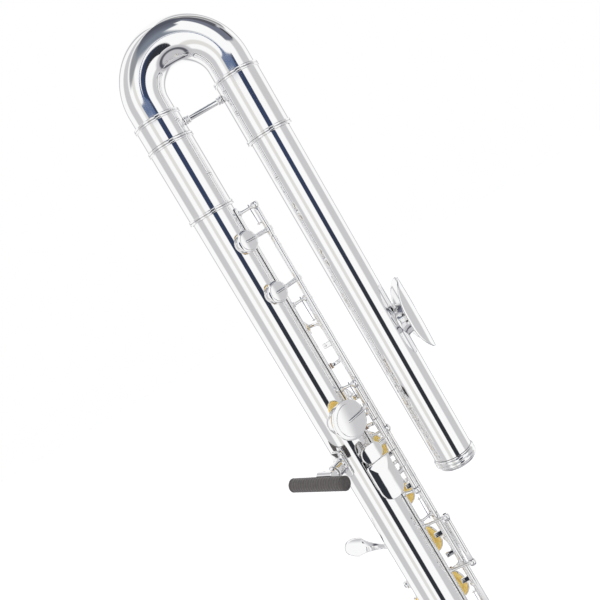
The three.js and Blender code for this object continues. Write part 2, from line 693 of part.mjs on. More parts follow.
// Where a key's hinge lies when its cup faces +Y: x across the tube, y outwards
function hingeFrame(line, face) {
  const [x, y] = onCircle(line.reach, line.angle - face + 90);
  return { x, y, side: Math.sign(x), reach: Math.abs(x) };
}

// Levels of a cup and its pad above the body axis
const padLow = RIM_RADIUS + SEAT_GAP;
const padHigh = padLow + PAD_THICKNESS;
const cupCeiling = padHigh + SEAT_GAP;
const cupTop = cupCeiling + CUP_ROOF + CUP_DOME;

function cup(radius, height) {
  const inner = radius - CUP_WALL;
  const low = padLow + CUP_SKIRT;
  const points = [
    [0, cupCeiling],
    [inner, cupCeiling],
    [inner, low],
    [radius, low],
    [radius, cupCeiling + CUP_SHOULDER],
    [radius * SHOULDER_SHARE, cupCeiling + CUP_ROOF],
    [radius * DOME_SHARE, cupTop - CUP_DOME / 4],
    [0, cupTop],
  ];
  return turned(points, CUP_SIDES).rotate([-90, 0, 0]).translate([0, 0, height]);
}

function pad(radius, height) {
  return outwardRod(radius - CUP_WALL - SEAT_GAP, padLow, padHigh, height, CUP_SIDES);
}

// Pointed arm over the cup, down its rim and round the hinge tube, for a hinge on the +X side
function arm(hinge, radius, height) {
  const rimTop = cupCeiling + CUP_ROOF;
  const outline = polygon([
    [-ARM_REACH, cupTop - ARM_SINK],
    [radius * DOME_SHARE, cupTop - ARM_SINK],
    [radius * SHOULDER_SHARE, rimTop - ARM_SINK],
    [radius + ARM_SINK, rimTop - ARM_THICKNESS],
    [hinge.reach - HINGE_RADIUS, hinge.y - HINGE_RADIUS / 2],
    [hinge.reach, hinge.y - HINGE_RADIUS],
    [hinge.reach, hinge.y + COLLAR_RADIUS],
    [hinge.reach - HINGE_RADIUS, hinge.y + COLLAR_RADIUS],
    [radius, rimTop + ARM_THICKNESS],
    [radius * DOME_SHARE, cupTop + ARM_THICKNESS - ARM_SINK],
    [-ARM_REACH, cupTop + ARM_THICKNESS / 4],
  ]);
  const taper = polygon([
    [-ARM_REACH - ARM_SINK, -ARM_TIP_WIDTH / 2],
    [hinge.reach, -ARM_WIDTH / 2],
    [hinge.reach + COLLAR_RADIUS, -ARM_WIDTH / 2],
    [hinge.reach + COLLAR_RADIUS, ARM_WIDTH / 2],
    [hinge.reach, ARM_WIDTH / 2],
    [-ARM_REACH - ARM_SINK, ARM_TIP_WIDTH / 2],
  ]);
  const side = prism(outline, -ARM_WIDTH, ARM_WIDTH);
  const plan = crossPrism(taper, 0, cupTop + COLLAR_RADIUS + ARM_THICKNESS);
  const collar = rodAlong(COLLAR_RADIUS, -ARM_WIDTH / 2, ARM_WIDTH / 2).translate([hinge.reach, hinge.y, 0]);
  return side.intersect(plan).add(collar).translate([0, 0, height]);
}

function mirrored(solid, side) {
  return side < 0 ? solid.mirror([1, 0, 0]) : solid;
}

// Hinge tube, cups with their arms, and any other forms that the key carries
function keySolid(line, face, radius, heights, tubeLow, tubeHigh, extras = []) {
  const hinge = hingeFrame(line, face);
  const tube = rodAlong(HINGE_RADIUS, tubeLow, tubeHigh).translate([hinge.x, hinge.y, 0]);
  const bore = rodAlong(HINGE_BORE, tubeLow - OVERRUN, tubeHigh + OVERRUN).translate([hinge.x, hinge.y, 0]);
  const cups = heights.map((height) => cup(radius, height));
  const arms = heights.map((height) => mirrored(arm(hinge, radius, height), hinge.side));
  return joined([tube, ...cups, ...arms, ...extras]).subtract(bore);
}

// Group with its origin on the hinge, turned so that its cup faces outwards, and opened by its rest angle
function hingeGroup(parent, line, face, open) {
  const hinge = hingeFrame(line, face);
  const [x, y] = onCircle(line.reach, line.angle);
  const group = new THREE.Group();
  group.position.set(x, y, 0);
  group.rotation.z = (face - 90 - hinge.side * open) * DEGREE;
  parent.add(group);
  return { group, hinge };
}

function addAtHinge(place, name, solid, material) {
  addPiece(place.group, name, solid.translate([-place.hinge.x, -place.hinge.y, 0]), material);
}

function addKey(parent, key) {
  const place = hingeGroup(parent, key.line, key.face, key.open);
  const heights = key.pads.map(([, height]) => height);
  const body = keySolid(key.line, key.face, key.size.cup, heights, key.low, key.high, key.extras);
  addAtHinge(place, key.name, body, silver);
  key.pads.forEach(([name, height]) => addAtHinge(place, name, pad(key.size.cup, height), padSkin));
  return place;
}

// Room for a hinge tube beside the post at the given height
const postRoom = BEAD_HALF + TUBE_GAP;

// Round finger touch on an arm of its own, above the tube between the cup and the hinge
function fingerTouch() {
  const hinge = hingeFrame(MAIN_LINE, MAIN_FACE_ANGLE);
  const { abovePost, radius, reach } = FINGER_TOUCH;
  const height = MAIN_POST_HAND + abovePost;
  const plate = outwardRod(radius, reach, reach + TOUCH_THICKNESS, height, CUP_SIDES);
  const neck = new THREE.Vector3(radius / 2, reach + TOUCH_THICKNESS / 2, height);
  const root = new THREE.Vector3(hinge.x, hinge.y + HINGE_RADIUS - ARM_SINK, height);
  return [plate, bar(root, neck, ARM_THICKNESS)];
}

// Plate for the little finger beyond the hinge, which lifts the closed D sharp cup
function dSharpTouch() {
  const hinge = hingeFrame(MAIN_LINE, MAIN_FACE_ANGLE);
  const { length, width, corner } = FOOT_TOUCH;
  const near = hinge.x + HINGE_RADIUS - ARM_SINK;
  const middle = near + length / 2;
  const outline = roundedOutline(length / 2, -width / 2, width / 2, corner);
  const plate = crossPrism(outline, hinge.y, hinge.y + TOUCH_THICKNESS);
  return [plate.translate([middle, 0, D_SHARP_HOLE])];
}

// Plate for the little finger between hinge and cup, which closes an open foot cup
function footTouch(height) {
  const hinge = hingeFrame(MAIN_LINE, MAIN_FACE_ANGLE);
  const { length, width, corner, reach } = FOOT_TOUCH;
  const outline = roundedOutline(width / 2, -length / 2, length / 2, corner);
  const plate = crossPrism(outline, reach, reach + TOUCH_THICKNESS).translate([width / 2, 0, height]);
  const armHeight = height - length / 2 + corner;
  const neck = new THREE.Vector3(width - corner / 2, reach + TOUCH_THICKNESS / 2, armHeight);
  const root = new THREE.Vector3(hinge.x, hinge.y + HINGE_RADIUS - ARM_SINK, armHeight);
  return [plate, bar(root, neck, ARM_THICKNESS)];
}

function addMainKeys() {
  const main = { line: MAIN_LINE, face: MAIN_FACE_ANGLE, size: LARGE_CUP, open: OPEN_ANGLE, extras: [] };
  const flatTop = MAIN_POST_HAND - postRoom;
  const flatLow = (B_FLAT_HOLE + A_HOLE) / 2;
  const eTop = (F_HOLE + E_HOLE) / 2;
  const dTop = (E_HOLE + D_HOLE) / 2;
  const keys = [
    {
      ...main,
      name: 'c_sharp_key',
      size: SMALL_CUP,
      pads: [['c_sharp_pad', C_SHARP_HOLE]],
      low: MAIN_POST_HAND + postRoom,
      high: MAIN_POST_TOP - postRoom,
      extras: fingerTouch(),
    },
    { ...main, name: 'b_flat_key', pads: [['b_flat_pad', B_FLAT_HOLE]], low: flatLow, high: flatTop },
    {
      ...main,
      name: 'a_key',
      pads: [['a_pad', A_HOLE]],
      low: MAIN_POST_A + postRoom,
      high: flatLow - TUBE_GAP,
    },
    {
      ...main,
      name: 'g_key',
      pads: [['g_upper_pad', G_UPPER_HOLE], ['g_lower_pad', G_LOWER_HOLE]],
      low: MAIN_POST_G + postRoom,
      high: MAIN_POST_A - postRoom,
    },
    {
      ...main,
      name: 'f_sharp_key',
      pads: [['f_sharp_pad', F_SHARP_HOLE]],
      low: MAIN_POST_F + postRoom,
      high: MAIN_POST_G - postRoom,
    },
    {
      ...main,
      name: 'f_key',
      pads: [['f_pad', F_HOLE]],
      low: eTop + TUBE_GAP,
      high: MAIN_POST_F - postRoom,
    },
    { ...main, name: 'e_key', pads: [['e_pad', E_HOLE]], low: dTop + TUBE_GAP, high: eTop },
    { ...main, name: 'd_key', pads: [['d_pad', D_HOLE]], low: MAIN_POST_LOW + postRoom, high: dTop },
  ];
  keys.forEach((key) => addKey(flute, key));
}

function addFootKeys() {
  const main = { line: MAIN_LINE, face: MAIN_FACE_ANGLE, size: LARGE_CUP, open: OPEN_ANGLE };
  const lowTop = (LOW_C_SHARP_HOLE + LOW_C_HOLE) / 2;
  const keys = [
    {
      ...main,
      name: 'd_sharp_key',
      open: 0,
      pads: [['d_sharp_pad', D_SHARP_HOLE]],
      low: FOOT_POST_MIDDLE + postRoom,
      high: FOOT_POST_HIGH - postRoom,
      extras: dSharpTouch(),
    },
    {
      ...main,
      name: 'low_c_sharp_key',
      pads: [['low_c_sharp_pad', LOW_C_SHARP_HOLE]],
      low: lowTop + TUBE_GAP,
      high: FOOT_POST_MIDDLE - postRoom,
      extras: footTouch(FOOT_POST_MIDDLE - FOOT_TOUCH.length / 2 - TUBE_GAP),
    },
    {
      ...main,
      name: 'low_c_key',
      pads: [['low_c_pad', LOW_C_HOLE]],
      low: FOOT_POST_LOW + postRoom,
      high: lowTop,
      extras: footTouch(lowTop),
    },
  ];
  keys.forEach((key) => addKey(flute, key));
}

// Trill keys: the upper key is pinned to the steel, which turns inside the lower key's long tube

// Arm from the trill line round the outside of the main line to a finger plate between two main cups
function trillTouch(height) {
  const { halfLength, halfWidth, reach, faceAngle } = TRILL_TOUCH;
  const { width, thickness } = TRILL_ARM;
  const [x, y] = onCircle(TRILL_LINE.reach, TRILL_LINE.angle);
  const past = MAIN_LINE.angle * 2;
  const outline = polygon([
    [x, y - HINGE_RADIUS / 2],
    ...arcPoints(TRILL_ARM.reach + thickness / 2, 0, past, TRILL_STEPS),
    onCircle(reach + TOUCH_THICKNESS, faceAngle),
    onCircle(reach, faceAngle),
    ...arcPoints(TRILL_ARM.reach - thickness / 2, past, 0, TRILL_STEPS),
    [x, y + HINGE_RADIUS / 2],
  ]);
  const plateOutline = roundedOutline(halfWidth, height - halfLength, height + halfLength, halfWidth);
  const plate = crossPrism(plateOutline, reach, reach + TOUCH_THICKNESS);
  const touch = joined([prism(outline, height - width / 2, height + width / 2), facing(plate, faceAngle)]);
  const tubeRoom = rodAlong(HINGE_RADIUS + SEAT_GAP, height - width, height + width);
  return inCupFrame(touch.subtract(tubeRoom.translate([x, y, 0])), TRILL_FACE_ANGLE);
}

// Turns a form given in the part's frame into the frame of a key's cup
function inCupFrame(solid, face) {
  return solid.rotate([0, 0, 90 - face]);
}

function addTrillKeys() {
  const trill = { line: TRILL_LINE, face: TRILL_FACE_ANGLE, size: SMALL_CUP, open: 0 };
  const upperLow = TRILL_UPPER_HOLE - ARM_WIDTH - HINGE_RADIUS;
  const upperTouch = (D_HOLE + E_HOLE) / 2;
  const lowerTouch = (E_HOLE + F_HOLE) / 2;
  const lowerTube = lowerTouch - TRILL_ARM.tubeBelow;
  addKey(flute, {
    ...trill,
    name: 'trill_upper_key',
    pads: [['trill_upper_pad', TRILL_UPPER_HOLE]],
    low: upperLow,
    high: TRILL_POST_TOP - postRoom,
    extras: [],
  });
  const place = addKey(flute, {
    ...trill,
    name: 'trill_lower_key',
    pads: [['trill_lower_pad', TRILL_LOWER_HOLE]],
    low: lowerTube + TUBE_GAP,
    high: upperLow - TUBE_GAP,
    extras: [],
  });
  const [x, y] = onCircle(TRILL_LINE.reach, TRILL_LINE.angle);
  const collar = rodAlong(HINGE_RADIUS, TRILL_POST_LOW + postRoom, lowerTube).translate([x, y, 0]);
  const steelRod = lineRod(TRILL_LINE, TRILL_POST_LOW, TRILL_POST_TOP);
  addAtHinge(place, 'trill_rod', inCupFrame(joined([steelRod, collar]), TRILL_FACE_ANGLE), satinSilver);
  addAtHinge(place, 'trill_upper_touch', trillTouch(upperTouch), silver);
  addAtHinge(place, 'trill_lower_touch', trillTouch(lowerTouch), silver);
}

// Thumb keys: cup and long touch are pinned to the thumb steel, and the B flat lever rides on it

function touchPlate({ fromAngle, toAngle, length, lowCorner, highCorner }, low) {
  const outer = TOUCH_INNER + TOUCH_THICKNESS;
  const shell = prism(sector(TOUCH_INNER, outer, fromAngle, toAngle, PLATE_STEPS), low, low + length);
  const halfWidth = outer * Math.sin(((toAngle - fromAngle) / 2) * DEGREE);
  const outline = roundedOutline(halfWidth, low, low + length, lowCorner, highCorner);
  return shell.intersect(facing(crossPrism(outline, 0, outer + OVERRUN), (fromAngle + toAngle) / 2));
}

function thumbLever(plate, plateLow, tubeLow, tubeHigh, armHeight) {
  const [x, y] = onCircle(THUMB_LINE.reach, THUMB_LINE.angle);
  const tube = rodAlong(HINGE_RADIUS, tubeLow, tubeHigh).translate([x, y, 0]);
  const bore = rodAlong(HINGE_BORE, tubeLow - OVERRUN, tubeHigh + OVERRUN).translate([x, y, 0]);
  const edge = pointAt(TOUCH_INNER + TOUCH_THICKNESS / 2, plate.toAngle - PLATE_HOLD_ANGLE, armHeight);
  const root = new THREE.Vector3(x, y, armHeight);
  const half = ARM_WIDTH / 2;
  const collar = rodAlong(COLLAR_RADIUS, armHeight - half, armHeight + half).translate([x, y, 0]);
  return joined([touchPlate(plate, plateLow), tube, collar, bar(root, edge, ARM_THICKNESS)]).subtract(bore);
}

function addThumbKeys() {
  const place = addKey(flute, {
    name: 'thumb_cup_key',
    line: THUMB_LINE,
    face: THUMB_FACE_ANGLE,
    size: THUMB_CUP,
    open: THUMB_OPEN_ANGLE,
    pads: [['thumb_pad', THUMB_HOLE]],
    low: THUMB_HOLE - THUMB_TUBES.cupBelow,
    high: THUMB_POST_TOP - postRoom,
    extras: [],
  });
  const rod = inCupFrame(lineRod(THUMB_LINE, THUMB_POST_LOW, THUMB_POST_TOP), THUMB_FACE_ANGLE);
  addAtHinge(place, 'thumb_rod', rod, steel);
  const flatHigh = THUMB_HOLE - THUMB_TUBES.cupBelow - TUBE_GAP;
  const flatPlate = flatHigh - THUMB_TUBES.plateBelow - FLAT_PLATE.length;
  const flatLow = flatPlate - THUMB_TUBES.flatBelow;
  const flatArm = flatPlate + FLAT_PLATE.length / 2;
  addPiece(flute, 'b_flat_lever', thumbLever(FLAT_PLATE, flatPlate, flatLow, flatHigh, flatArm), silver);
  const touchLow = THUMB_POST_LOW + postRoom;
  const touchHigh = flatLow - TUBE_GAP;
  const touchPlateLow = flatPlate - PLATE_GAP - THUMB_PLATE.length;
  const touchArm = touchPlateLow + THUMB_PLATE.length / 2 - ARM_WIDTH;
  const touch = thumbLever(THUMB_PLATE, touchPlateLow, touchLow, touchHigh, touchArm);
  addPiece(flute, 'thumb_touch', touch, silver);
}

// Short outer lever on pointed ends between two posts, with a leaf behind it
function sideLever() {
  const point = BEAD_HALF - TUBE_GAP;
  const low = SIDE_POST_LOW + postRoom;
  const high = SIDE_POST_TOP - postRoom;
  const middle = (low + high) / 2;
  const { halfLength, reach, thickness } = SIDE_LEAF;
  const stem = turned([
    [0, low - TUBE_GAP - point],
    [ROD_RADIUS, low - TUBE_GAP - point],
    [ROD_RADIUS, low],
    [HINGE_RADIUS, low],
    [HINGE_RADIUS, high],
    [ROD_RADIUS, high],
    [ROD_RADIUS, high + TUBE_GAP + point],
    [0, high + TUBE_GAP + point],
  ], ROD_SIDES);
  const outline = roundedOutline(reach / 2, middle - halfLength, middle + halfLength, thickness * 2);
  const leaf = crossPrism(outline, -thickness / 2, thickness / 2).translate([reach / 2, 0, 0]);
  return stem.add(leaf.rotate([0, 0, 90 - SIDE_LINE.angle]));
}

function addSideLever() {
  const lever = addPiece(flute, 'side_lever', sideLever(), silver);
  const [x, y] = onCircle(SIDE_LINE.reach, SIDE_LINE.angle);
  lever.position.set(x, y, 0);
  lever.rotation.z = SIDE_LINE.angle * DEGREE;
}

// G sharp key: a see-saw behind the tube, with the cup below its pivot and the spoon above it

const pivotHeight = G_LOWER_HOLE + G_SHARP_LEVER.pivotRise;
const barTop = pivotHeight + G_SHARP_BAR.topRise;

function pivotFrame(solid) {
  const { angle, pivotReach } = G_SHARP_LEVER;
  return facing(solid.rotate([0, 90, 0]).translate([0, pivotReach, pivotHeight]), angle);
}

function gSharpRib() {
  const { angle, pivotReach, postSpread } = G_SHARP_LEVER;
  const { fromAngle, toAngle, halfLength } = G_SHARP_SADDLE;
  const seat = sector(ribInner, ribOuter, fromAngle, toAngle, PLATE_STEPS);
  const saddle = prism(seat, pivotHeight - halfLength, pivotHeight + halfLength);
  const footReach = Math.sqrt(ribOuter ** 2 - postSpread ** 2) - STEM_SINK;
  const headReach = pivotReach - (HINGE_BORE + BEAD_RADIUS) / 2;
  const posts = [-postSpread, postSpread].flatMap((across) => {
    const foot = new THREE.Vector3(across, footReach, pivotHeight);
    const head = new THREE.Vector3(across, headReach, pivotHeight);
    return [pivotFrame(bead(HINGE_BORE, BEAD_RADIUS, across)), facing(bar(foot, head, STEM_RADIUS), angle)];
  });
  return joined([saddle, ...posts]);
}

function gSharpRod() {
  const end = G_SHARP_LEVER.postSpread + BEAD_HALF;
  return pivotFrame(rodAlong(ROD_RADIUS, -end, end));
}

// Flat teardrop from the end of the lever bar outwards, its face towards the little finger
function spoon() {
  const start = pointAt(G_SHARP_BAR.topReach, G_SHARP_LEVER.angle, barTop - SPOON.drop);
  const along = new THREE.Vector3(SPOON_RUN.x, SPOON_RUN.y, SPOON_RUN.z);
  const length = along.length();
  along.normalize();
  const up = new THREE.Vector3(0, 0, 1);
  const normal = new THREE.Vector3().crossVectors(up, along).normalize();
  const across = new THREE.Vector3().crossVectors(normal, along);
  const shape = new THREE.Shape();
  const shoulder = length * SPOON_SHAPE.shoulderShare;
  const widest = length * SPOON_SHAPE.widestShare;
  shape.moveTo(0, -SPOON.neck);
  shape.quadraticCurveTo(shoulder, -SPOON.neck, widest, -SPOON.halfWidth);
  shape.quadraticCurveTo(length, -SPOON.halfWidth, length, 0);
  shape.quadraticCurveTo(length, SPOON.halfWidth, widest, SPOON.halfWidth);
  shape.quadraticCurveTo(shoulder, SPOON.neck, 0, SPOON.neck);
  const outline = new THREE.Shape(shape.getPoints(PLATE_STEPS));
  const settings = { depth: SPOON.thickness, bevelEnabled: false, steps: 1 };
  const geometry = new THREE.ExtrudeGeometry(outline, settings);
  geometry.applyMatrix4(new THREE.Matrix4().makeBasis(along, across, normal).setPosition(start));
  return solidOf(geometry);
}

function gSharpKey() {
  const { angle, cupAngle, pivotReach, postSpread } = G_SHARP_LEVER;
  const half = postSpread - BEAD_HALF - TUBE_GAP;
  const tube = pivotFrame(rodAlong(HINGE_RADIUS, -half, half));
  const bore = pivotFrame(rodAlong(HINGE_BORE, -half - OVERRUN, half + OVERRUN));
  const pivot = pointAt(pivotReach + HINGE_RADIUS / 2, angle, pivotHeight);
  const top = pointAt(G_SHARP_BAR.topReach, angle, barTop);
  const low = pointAt(G_SHARP_BAR.lowReach, angle, G_LOWER_HOLE);
  const { radius } = G_SHARP_BAR;
  const cupEnd = pointAt(cupTop + radius / 2, cupAngle, G_LOWER_HOLE);
  const forms = [tube, bar(pivot, top, radius), bar(pivot, low, radius), bar(low, cupEnd, radius), spoon()];
  return joined([...forms, facing(cup(G_SHARP_CUP.cup, G_LOWER_HOLE), cupAngle)]).subtract(bore);
}

// Hand rest

const blockRoot = REST_BASE.bossReach + SEAT_GAP + REST_ARM.neckLength;
const gripReach = blockRoot + GRIP.standOff;

function handRestBase() {
  const { halfAngle, halfLength, thickness, bossRadius, bossReach } = REST_BASE;
  const plate = sector(ribInner, ribInner + thickness, 90 - halfAngle, 90 + halfAngle, PLATE_STEPS);
  const saddle = prism(plate, REST_HEIGHT - halfLength, REST_HEIGHT + halfLength);
  const boss = outwardRod(bossRadius, ribInner + thickness / 2, bossReach, REST_HEIGHT, CUP_SIDES);
  return facing(joined([saddle, boss]), REST_ANGLE);
}

// Forms of the swivelling arm and grip, with the grip along X, and tilted about the boss
function tilted(solid) {
  return facing(solid.rotate([0, -GRIP.tiltAngle, 0]).translate([0, 0, REST_HEIGHT]), REST_ANGLE);
}

function handRestArm() {
  const { neckRadius, neckLength, blockLength, blockHeight } = REST_ARM;
  const neck = outwardRod(neckRadius, blockRoot - neckLength, blockRoot + OVERRUN, 0, CUP_SIDES);
  const outline = roundedOutline(blockLength / 2, -blockHeight / 2, blockHeight / 2, blockHeight / 4);
  const block = crossPrism(outline, blockRoot, gripReach);
  const seat = rodAlong(GRIP.radius + SEAT_GAP, -blockLength, blockLength, CUP_SIDES).rotate([0, 90, 0]);
  return tilted(neck.add(block).subtract(seat.translate([0, gripReach, 0])));
}

function handRestGrip() {
  const { radius, length, nearLength, round } = GRIP;
  const low = -nearLength;
  const high = length - nearLength;
  const profile = [
    [0, low],
    [radius - round, low],
    [radius, low + round],
    [radius, high - round],
    [radius - round, high],
    [0, high],
  ];
  return tilted(turned(profile, CUP_SIDES).rotate([0, 90, 0]).translate([0, gripReach, 0]));
}

// Assembly

addPiece(flute, 'body_tube', bodyTube(), silver);
addPiece(flute, 'barrel', barrel(), silver);
addPiece(flute, 'foot_tube', footTube(), silver);
addPiece(flute, 'bend_tenon_sleeve', bendTenonSleeve(), silver);
addPiece(flute, 'u_bend', uBend(), silver);
addPiece(flute, 'brace_strut', braceStrut(), silver);
addPiece(headSide, 'bend_socket_sleeve', bendSocketSleeve(), silver);
addPiece(headSide, 'head_tube', headTube(), silver);
addPiece(headSide, 'embouchure_riser', embouchureRiser(), silver);
addPiece(headSide, 'lip_plate', lipPlate(), silver);
addPiece(headSide, 'crown_cap', crownCap(), silver);
addPiece(headSide, 'stopper_screw', stopperScrew(), steel);
addPiece(headSide, 'stopper_cork', stopperCork(), corkBrown);
addPiece(flute, 'main_rib', mainRib(), satinSilver);
addPiece(flute, 'foot_rib', footRib(), satinSilver);
addPiece(flute, 'main_rod', lineRod(MAIN_LINE, MAIN_POST_LOW, MAIN_POST_TOP), steel);
addPiece(flute, 'foot_rod', lineRod(MAIN_LINE, FOOT_POST_LOW, FOOT_POST_HIGH), steel);
addMainKeys();
addFootKeys();
addTrillKeys();
addThumbKeys();
addSideLever();
addPiece(flute, 'g_sharp_rib', gSharpRib(), satinSilver);
addPiece(flute, 'g_sharp_rod', gSharpRod(), steel);
addPiece(flute, 'g_sharp_key', gSharpKey(), silver);
addPiece(flute, 'g_sharp_pad', facing(pad(G_SHARP_CUP.cup, G_LOWER_HOLE), G_SHARP_LEVER.cupAngle), padSkin);
addPiece(flute, 'hand_rest_base', handRestBase(), satinSilver);
addPiece(flute, 'hand_rest_arm', handRestArm(), satinSilver);
addPiece(flute, 'hand_rest_grip', handRestGrip(), blackGrip);

export default flute;
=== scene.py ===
"""Bass flute in silver plate: tubes, bend, keywork, lip plate and hand rest over the fixed frame."""

from __future__ import annotations

import json
import logging
import math
from collections.abc import Callable, Sequence
from dataclasses import dataclass, field
from enum import Enum

import bmesh
import bpy
import numpy as np
from mathutils import Matrix, Vector

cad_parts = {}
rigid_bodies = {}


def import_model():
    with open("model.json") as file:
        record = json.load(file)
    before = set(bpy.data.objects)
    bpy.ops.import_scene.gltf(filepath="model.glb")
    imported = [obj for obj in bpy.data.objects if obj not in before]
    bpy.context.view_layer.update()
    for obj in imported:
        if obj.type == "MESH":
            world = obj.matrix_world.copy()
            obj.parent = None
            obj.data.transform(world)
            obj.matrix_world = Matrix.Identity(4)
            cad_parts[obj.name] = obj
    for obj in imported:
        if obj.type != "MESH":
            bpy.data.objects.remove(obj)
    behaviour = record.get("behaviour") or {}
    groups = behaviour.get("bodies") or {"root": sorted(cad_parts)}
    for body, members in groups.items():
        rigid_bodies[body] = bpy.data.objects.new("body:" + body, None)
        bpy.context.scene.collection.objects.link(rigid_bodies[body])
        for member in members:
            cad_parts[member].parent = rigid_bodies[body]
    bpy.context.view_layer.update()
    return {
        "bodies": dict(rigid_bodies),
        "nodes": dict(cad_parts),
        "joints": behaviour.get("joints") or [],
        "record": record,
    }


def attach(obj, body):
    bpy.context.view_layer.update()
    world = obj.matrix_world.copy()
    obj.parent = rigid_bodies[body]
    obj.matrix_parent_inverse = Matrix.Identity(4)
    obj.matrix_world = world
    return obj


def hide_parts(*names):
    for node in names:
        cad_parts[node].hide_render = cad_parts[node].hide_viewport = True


LOG = logging.getLogger("bass_flute")
Array = np.ndarray
Vec = Sequence[float] | Array
Pair = tuple[float, float]
Triple = tuple[float, float, float]
Place = Callable[[Array], Array]
Link = bpy.types.NodeSocket
MM = 0.001
TURN = 2.0 * math.pi
X, Y, Z = np.eye(3)


# Meshes from grids


def stacked(*parts: Array | float) -> Array:
    """Stacks coordinates, brought to one shape, along a new last axis.

    Args:
        parts: Arrays or numbers.

    Returns:
        The stacked array.
    """
    return np.stack(np.broadcast_arrays(*parts), axis=-1)


@dataclass
class Skin:
    """Closed surfaces gathered into one mesh, in millimetres.

    A surface is a grid of points whose rows are closed loops, joined by four-sided faces. Its last row joins
    its first, or else each end row is closed by a fan about its mean point.
    """

    points: list[Array] = field(default_factory=list)
    quads: list[Array] = field(default_factory=list)
    fans: list[Array] = field(default_factory=list)
    count: int = 0

    def grid(self, rows: Array, ring: bool = False) -> Skin:
        """Adds a surface.

        Args:
            rows: Points of shape (rows, columns, 3), each row a closed loop.
            ring: True where the last row joins the first, as on a tube with a bore.

        Returns:
            This skin, so that calls can follow each other.
        """
        number, columns = rows.shape[:2]
        index = self.count + np.arange(number * columns).reshape(number, columns)
        lower = index if ring else index[:-1]
        upper = np.roll(index, -1, axis=0) if ring else index[1:]
        faces = stacked(lower, np.roll(lower, -1, 1), np.roll(upper, -1, 1), upper)
        self.points.append(rows.reshape(-1, 3))
        self.quads.append(faces.reshape(-1, 4))
        self.count += number * columns
        for end in () if ring else (0, -1):
            loop, after = index[end], np.roll(index[end], -1)
            self.points.append(rows[end].mean(axis=0, keepdims=True))
            first, second = (loop, after) if end else (after, loop)
            self.fans.append(stacked(first, second, self.count))
            self.count += 1
        return self

    def moved(self, place: Place) -> Skin:
        """Carries every point through a mapping and returns this skin."""
        self.points = [place(points) for points in self.points]
        return self

    def add(self, *others: Skin) -> Skin:
        """Takes in other skins.

        Args:
            others: Skins to take in.

        Returns:
            This skin, so that calls can follow each other.
        """
        for other in others:
            self.points += other.points
            self.quads += [quads + self.count for quads in other.quads]
            self.fans += [fans + self.count for fans in other.fans]
            self.count += other.count
        return self

    def mesh(self, name: str, crease: float = 34.0) -> bpy.types.Mesh:
        """Writes the surfaces into a smooth mesh in metres, with its faces turned outwards.

        Args:
            name: Name of the new mesh.
            crease: Angle between faces, in degrees, above which an edge stays sharp.

        Returns:
            The mesh.
        """
        faces = np.concatenate(self.quads).tolist()
        if self.fans:
            faces += np.concatenate(self.fans).tolist()
        mesh = bpy.data.meshes.new(name)
        mesh.from_pydata((np.concatenate(self.points) * MM).tolist(), [], faces)
        mesh.validate()
        work = bmesh.new()
        work.from_mesh(mesh)
        bmesh.ops.remove_doubles(work, verts=work.verts, dist=1e-7)
        bmesh.ops.recalc_face_normals(work, faces=work.faces)
        work.to_mesh(mesh)
        work.free()
        mesh.shade_smooth()
        mesh.set_sharp_from_angle(angle=math.radians(crease))
        return mesh


def unit(vector: Vec) -> Array:
    """Returns the vector, or each vector of an array, at length one."""
    array = np.asarray(vector, float)
    return array / np.linalg.norm(array, axis=-1, keepdims=True)


def polar(reach: float, angle: float, height: float = 0.0) -> Array:
    """Point at a distance and angle (degrees from +X towards +Y) about the body axis, at a height."""
    turn = math.radians(angle)
    return np.array([reach * math.cos(turn), reach * math.sin(turn), height])


def around(places: Sequence[Pair], height: float) -> list[Array]:
    """Points at one height, each given by its reach and angle."""
    return [polar(*place, height) for place in places]


def turn_about_z(points: Array, angle: float) -> Array:
    """Turns points about the Z axis.

    Args:
        points: Points to turn.
        angle: Angle in degrees.

    Returns:
        The turned points.
    """
    c, s = math.cos(math.radians(angle)), math.sin(math.radians(angle))
    x, y, z = points[..., 0], points[..., 1], points[..., 2]
    return stacked(x * c - y * s, x * s + y * c, z)


def circle(sides: int) -> tuple[Array, Array]:
    """Cosines and sines of the steps round a circle."""
    turn = np.linspace(0.0, TURN, sides, endpoint=False)
    return np.cos(turn), np.sin(turn)


def quarter(share: Array) -> Array:
    """Fall of a quarter circle, which is 1 at share 0 and levels out to 0 at share 1."""
    return 1 - np.sqrt(1 - (1 - share) ** 2)


def rounded(corners: Sequence[Vec], radius: float, steps: int = 3, closed: bool = False) -> Array:
    """Outline with every corner replaced by an arc.

    Each corner P between its neighbours A and B becomes the quadratic curve (1-t)^2 a + 2t(1-t) P + t^2 b,
    where a and b lie on the two sides at the given distance from P, or at 45% of a shorter side.

    Args:
        corners: Corner points in order.
        radius: Distance from each corner at which the rounding starts.
        steps: Number of steps in each arc.
        closed: True rounds the first and last points too.

    Returns:
        Points of shape (n, 2).
    """
    points = np.asarray(corners, float)
    ends = []
    for step in (1, -1):
        way = np.roll(points, step, axis=0) - points
        run = np.linalg.norm(way, axis=1, keepdims=True)
        ends.append(points + way / run * np.minimum(radius, 0.45 * run))
    t = np.linspace(0.0, 1.0, steps + 1)[None, :, None]
    arcs = (1 - t) ** 2 * ends[0][:, None] + 2 * t * (1 - t) * points[:, None] + t**2 * ends[1][:, None]
    if closed:
        return arcs.reshape(-1, 2)
    return np.concatenate([points[:1], arcs[1:-1].reshape(-1, 2), points[-1:]])


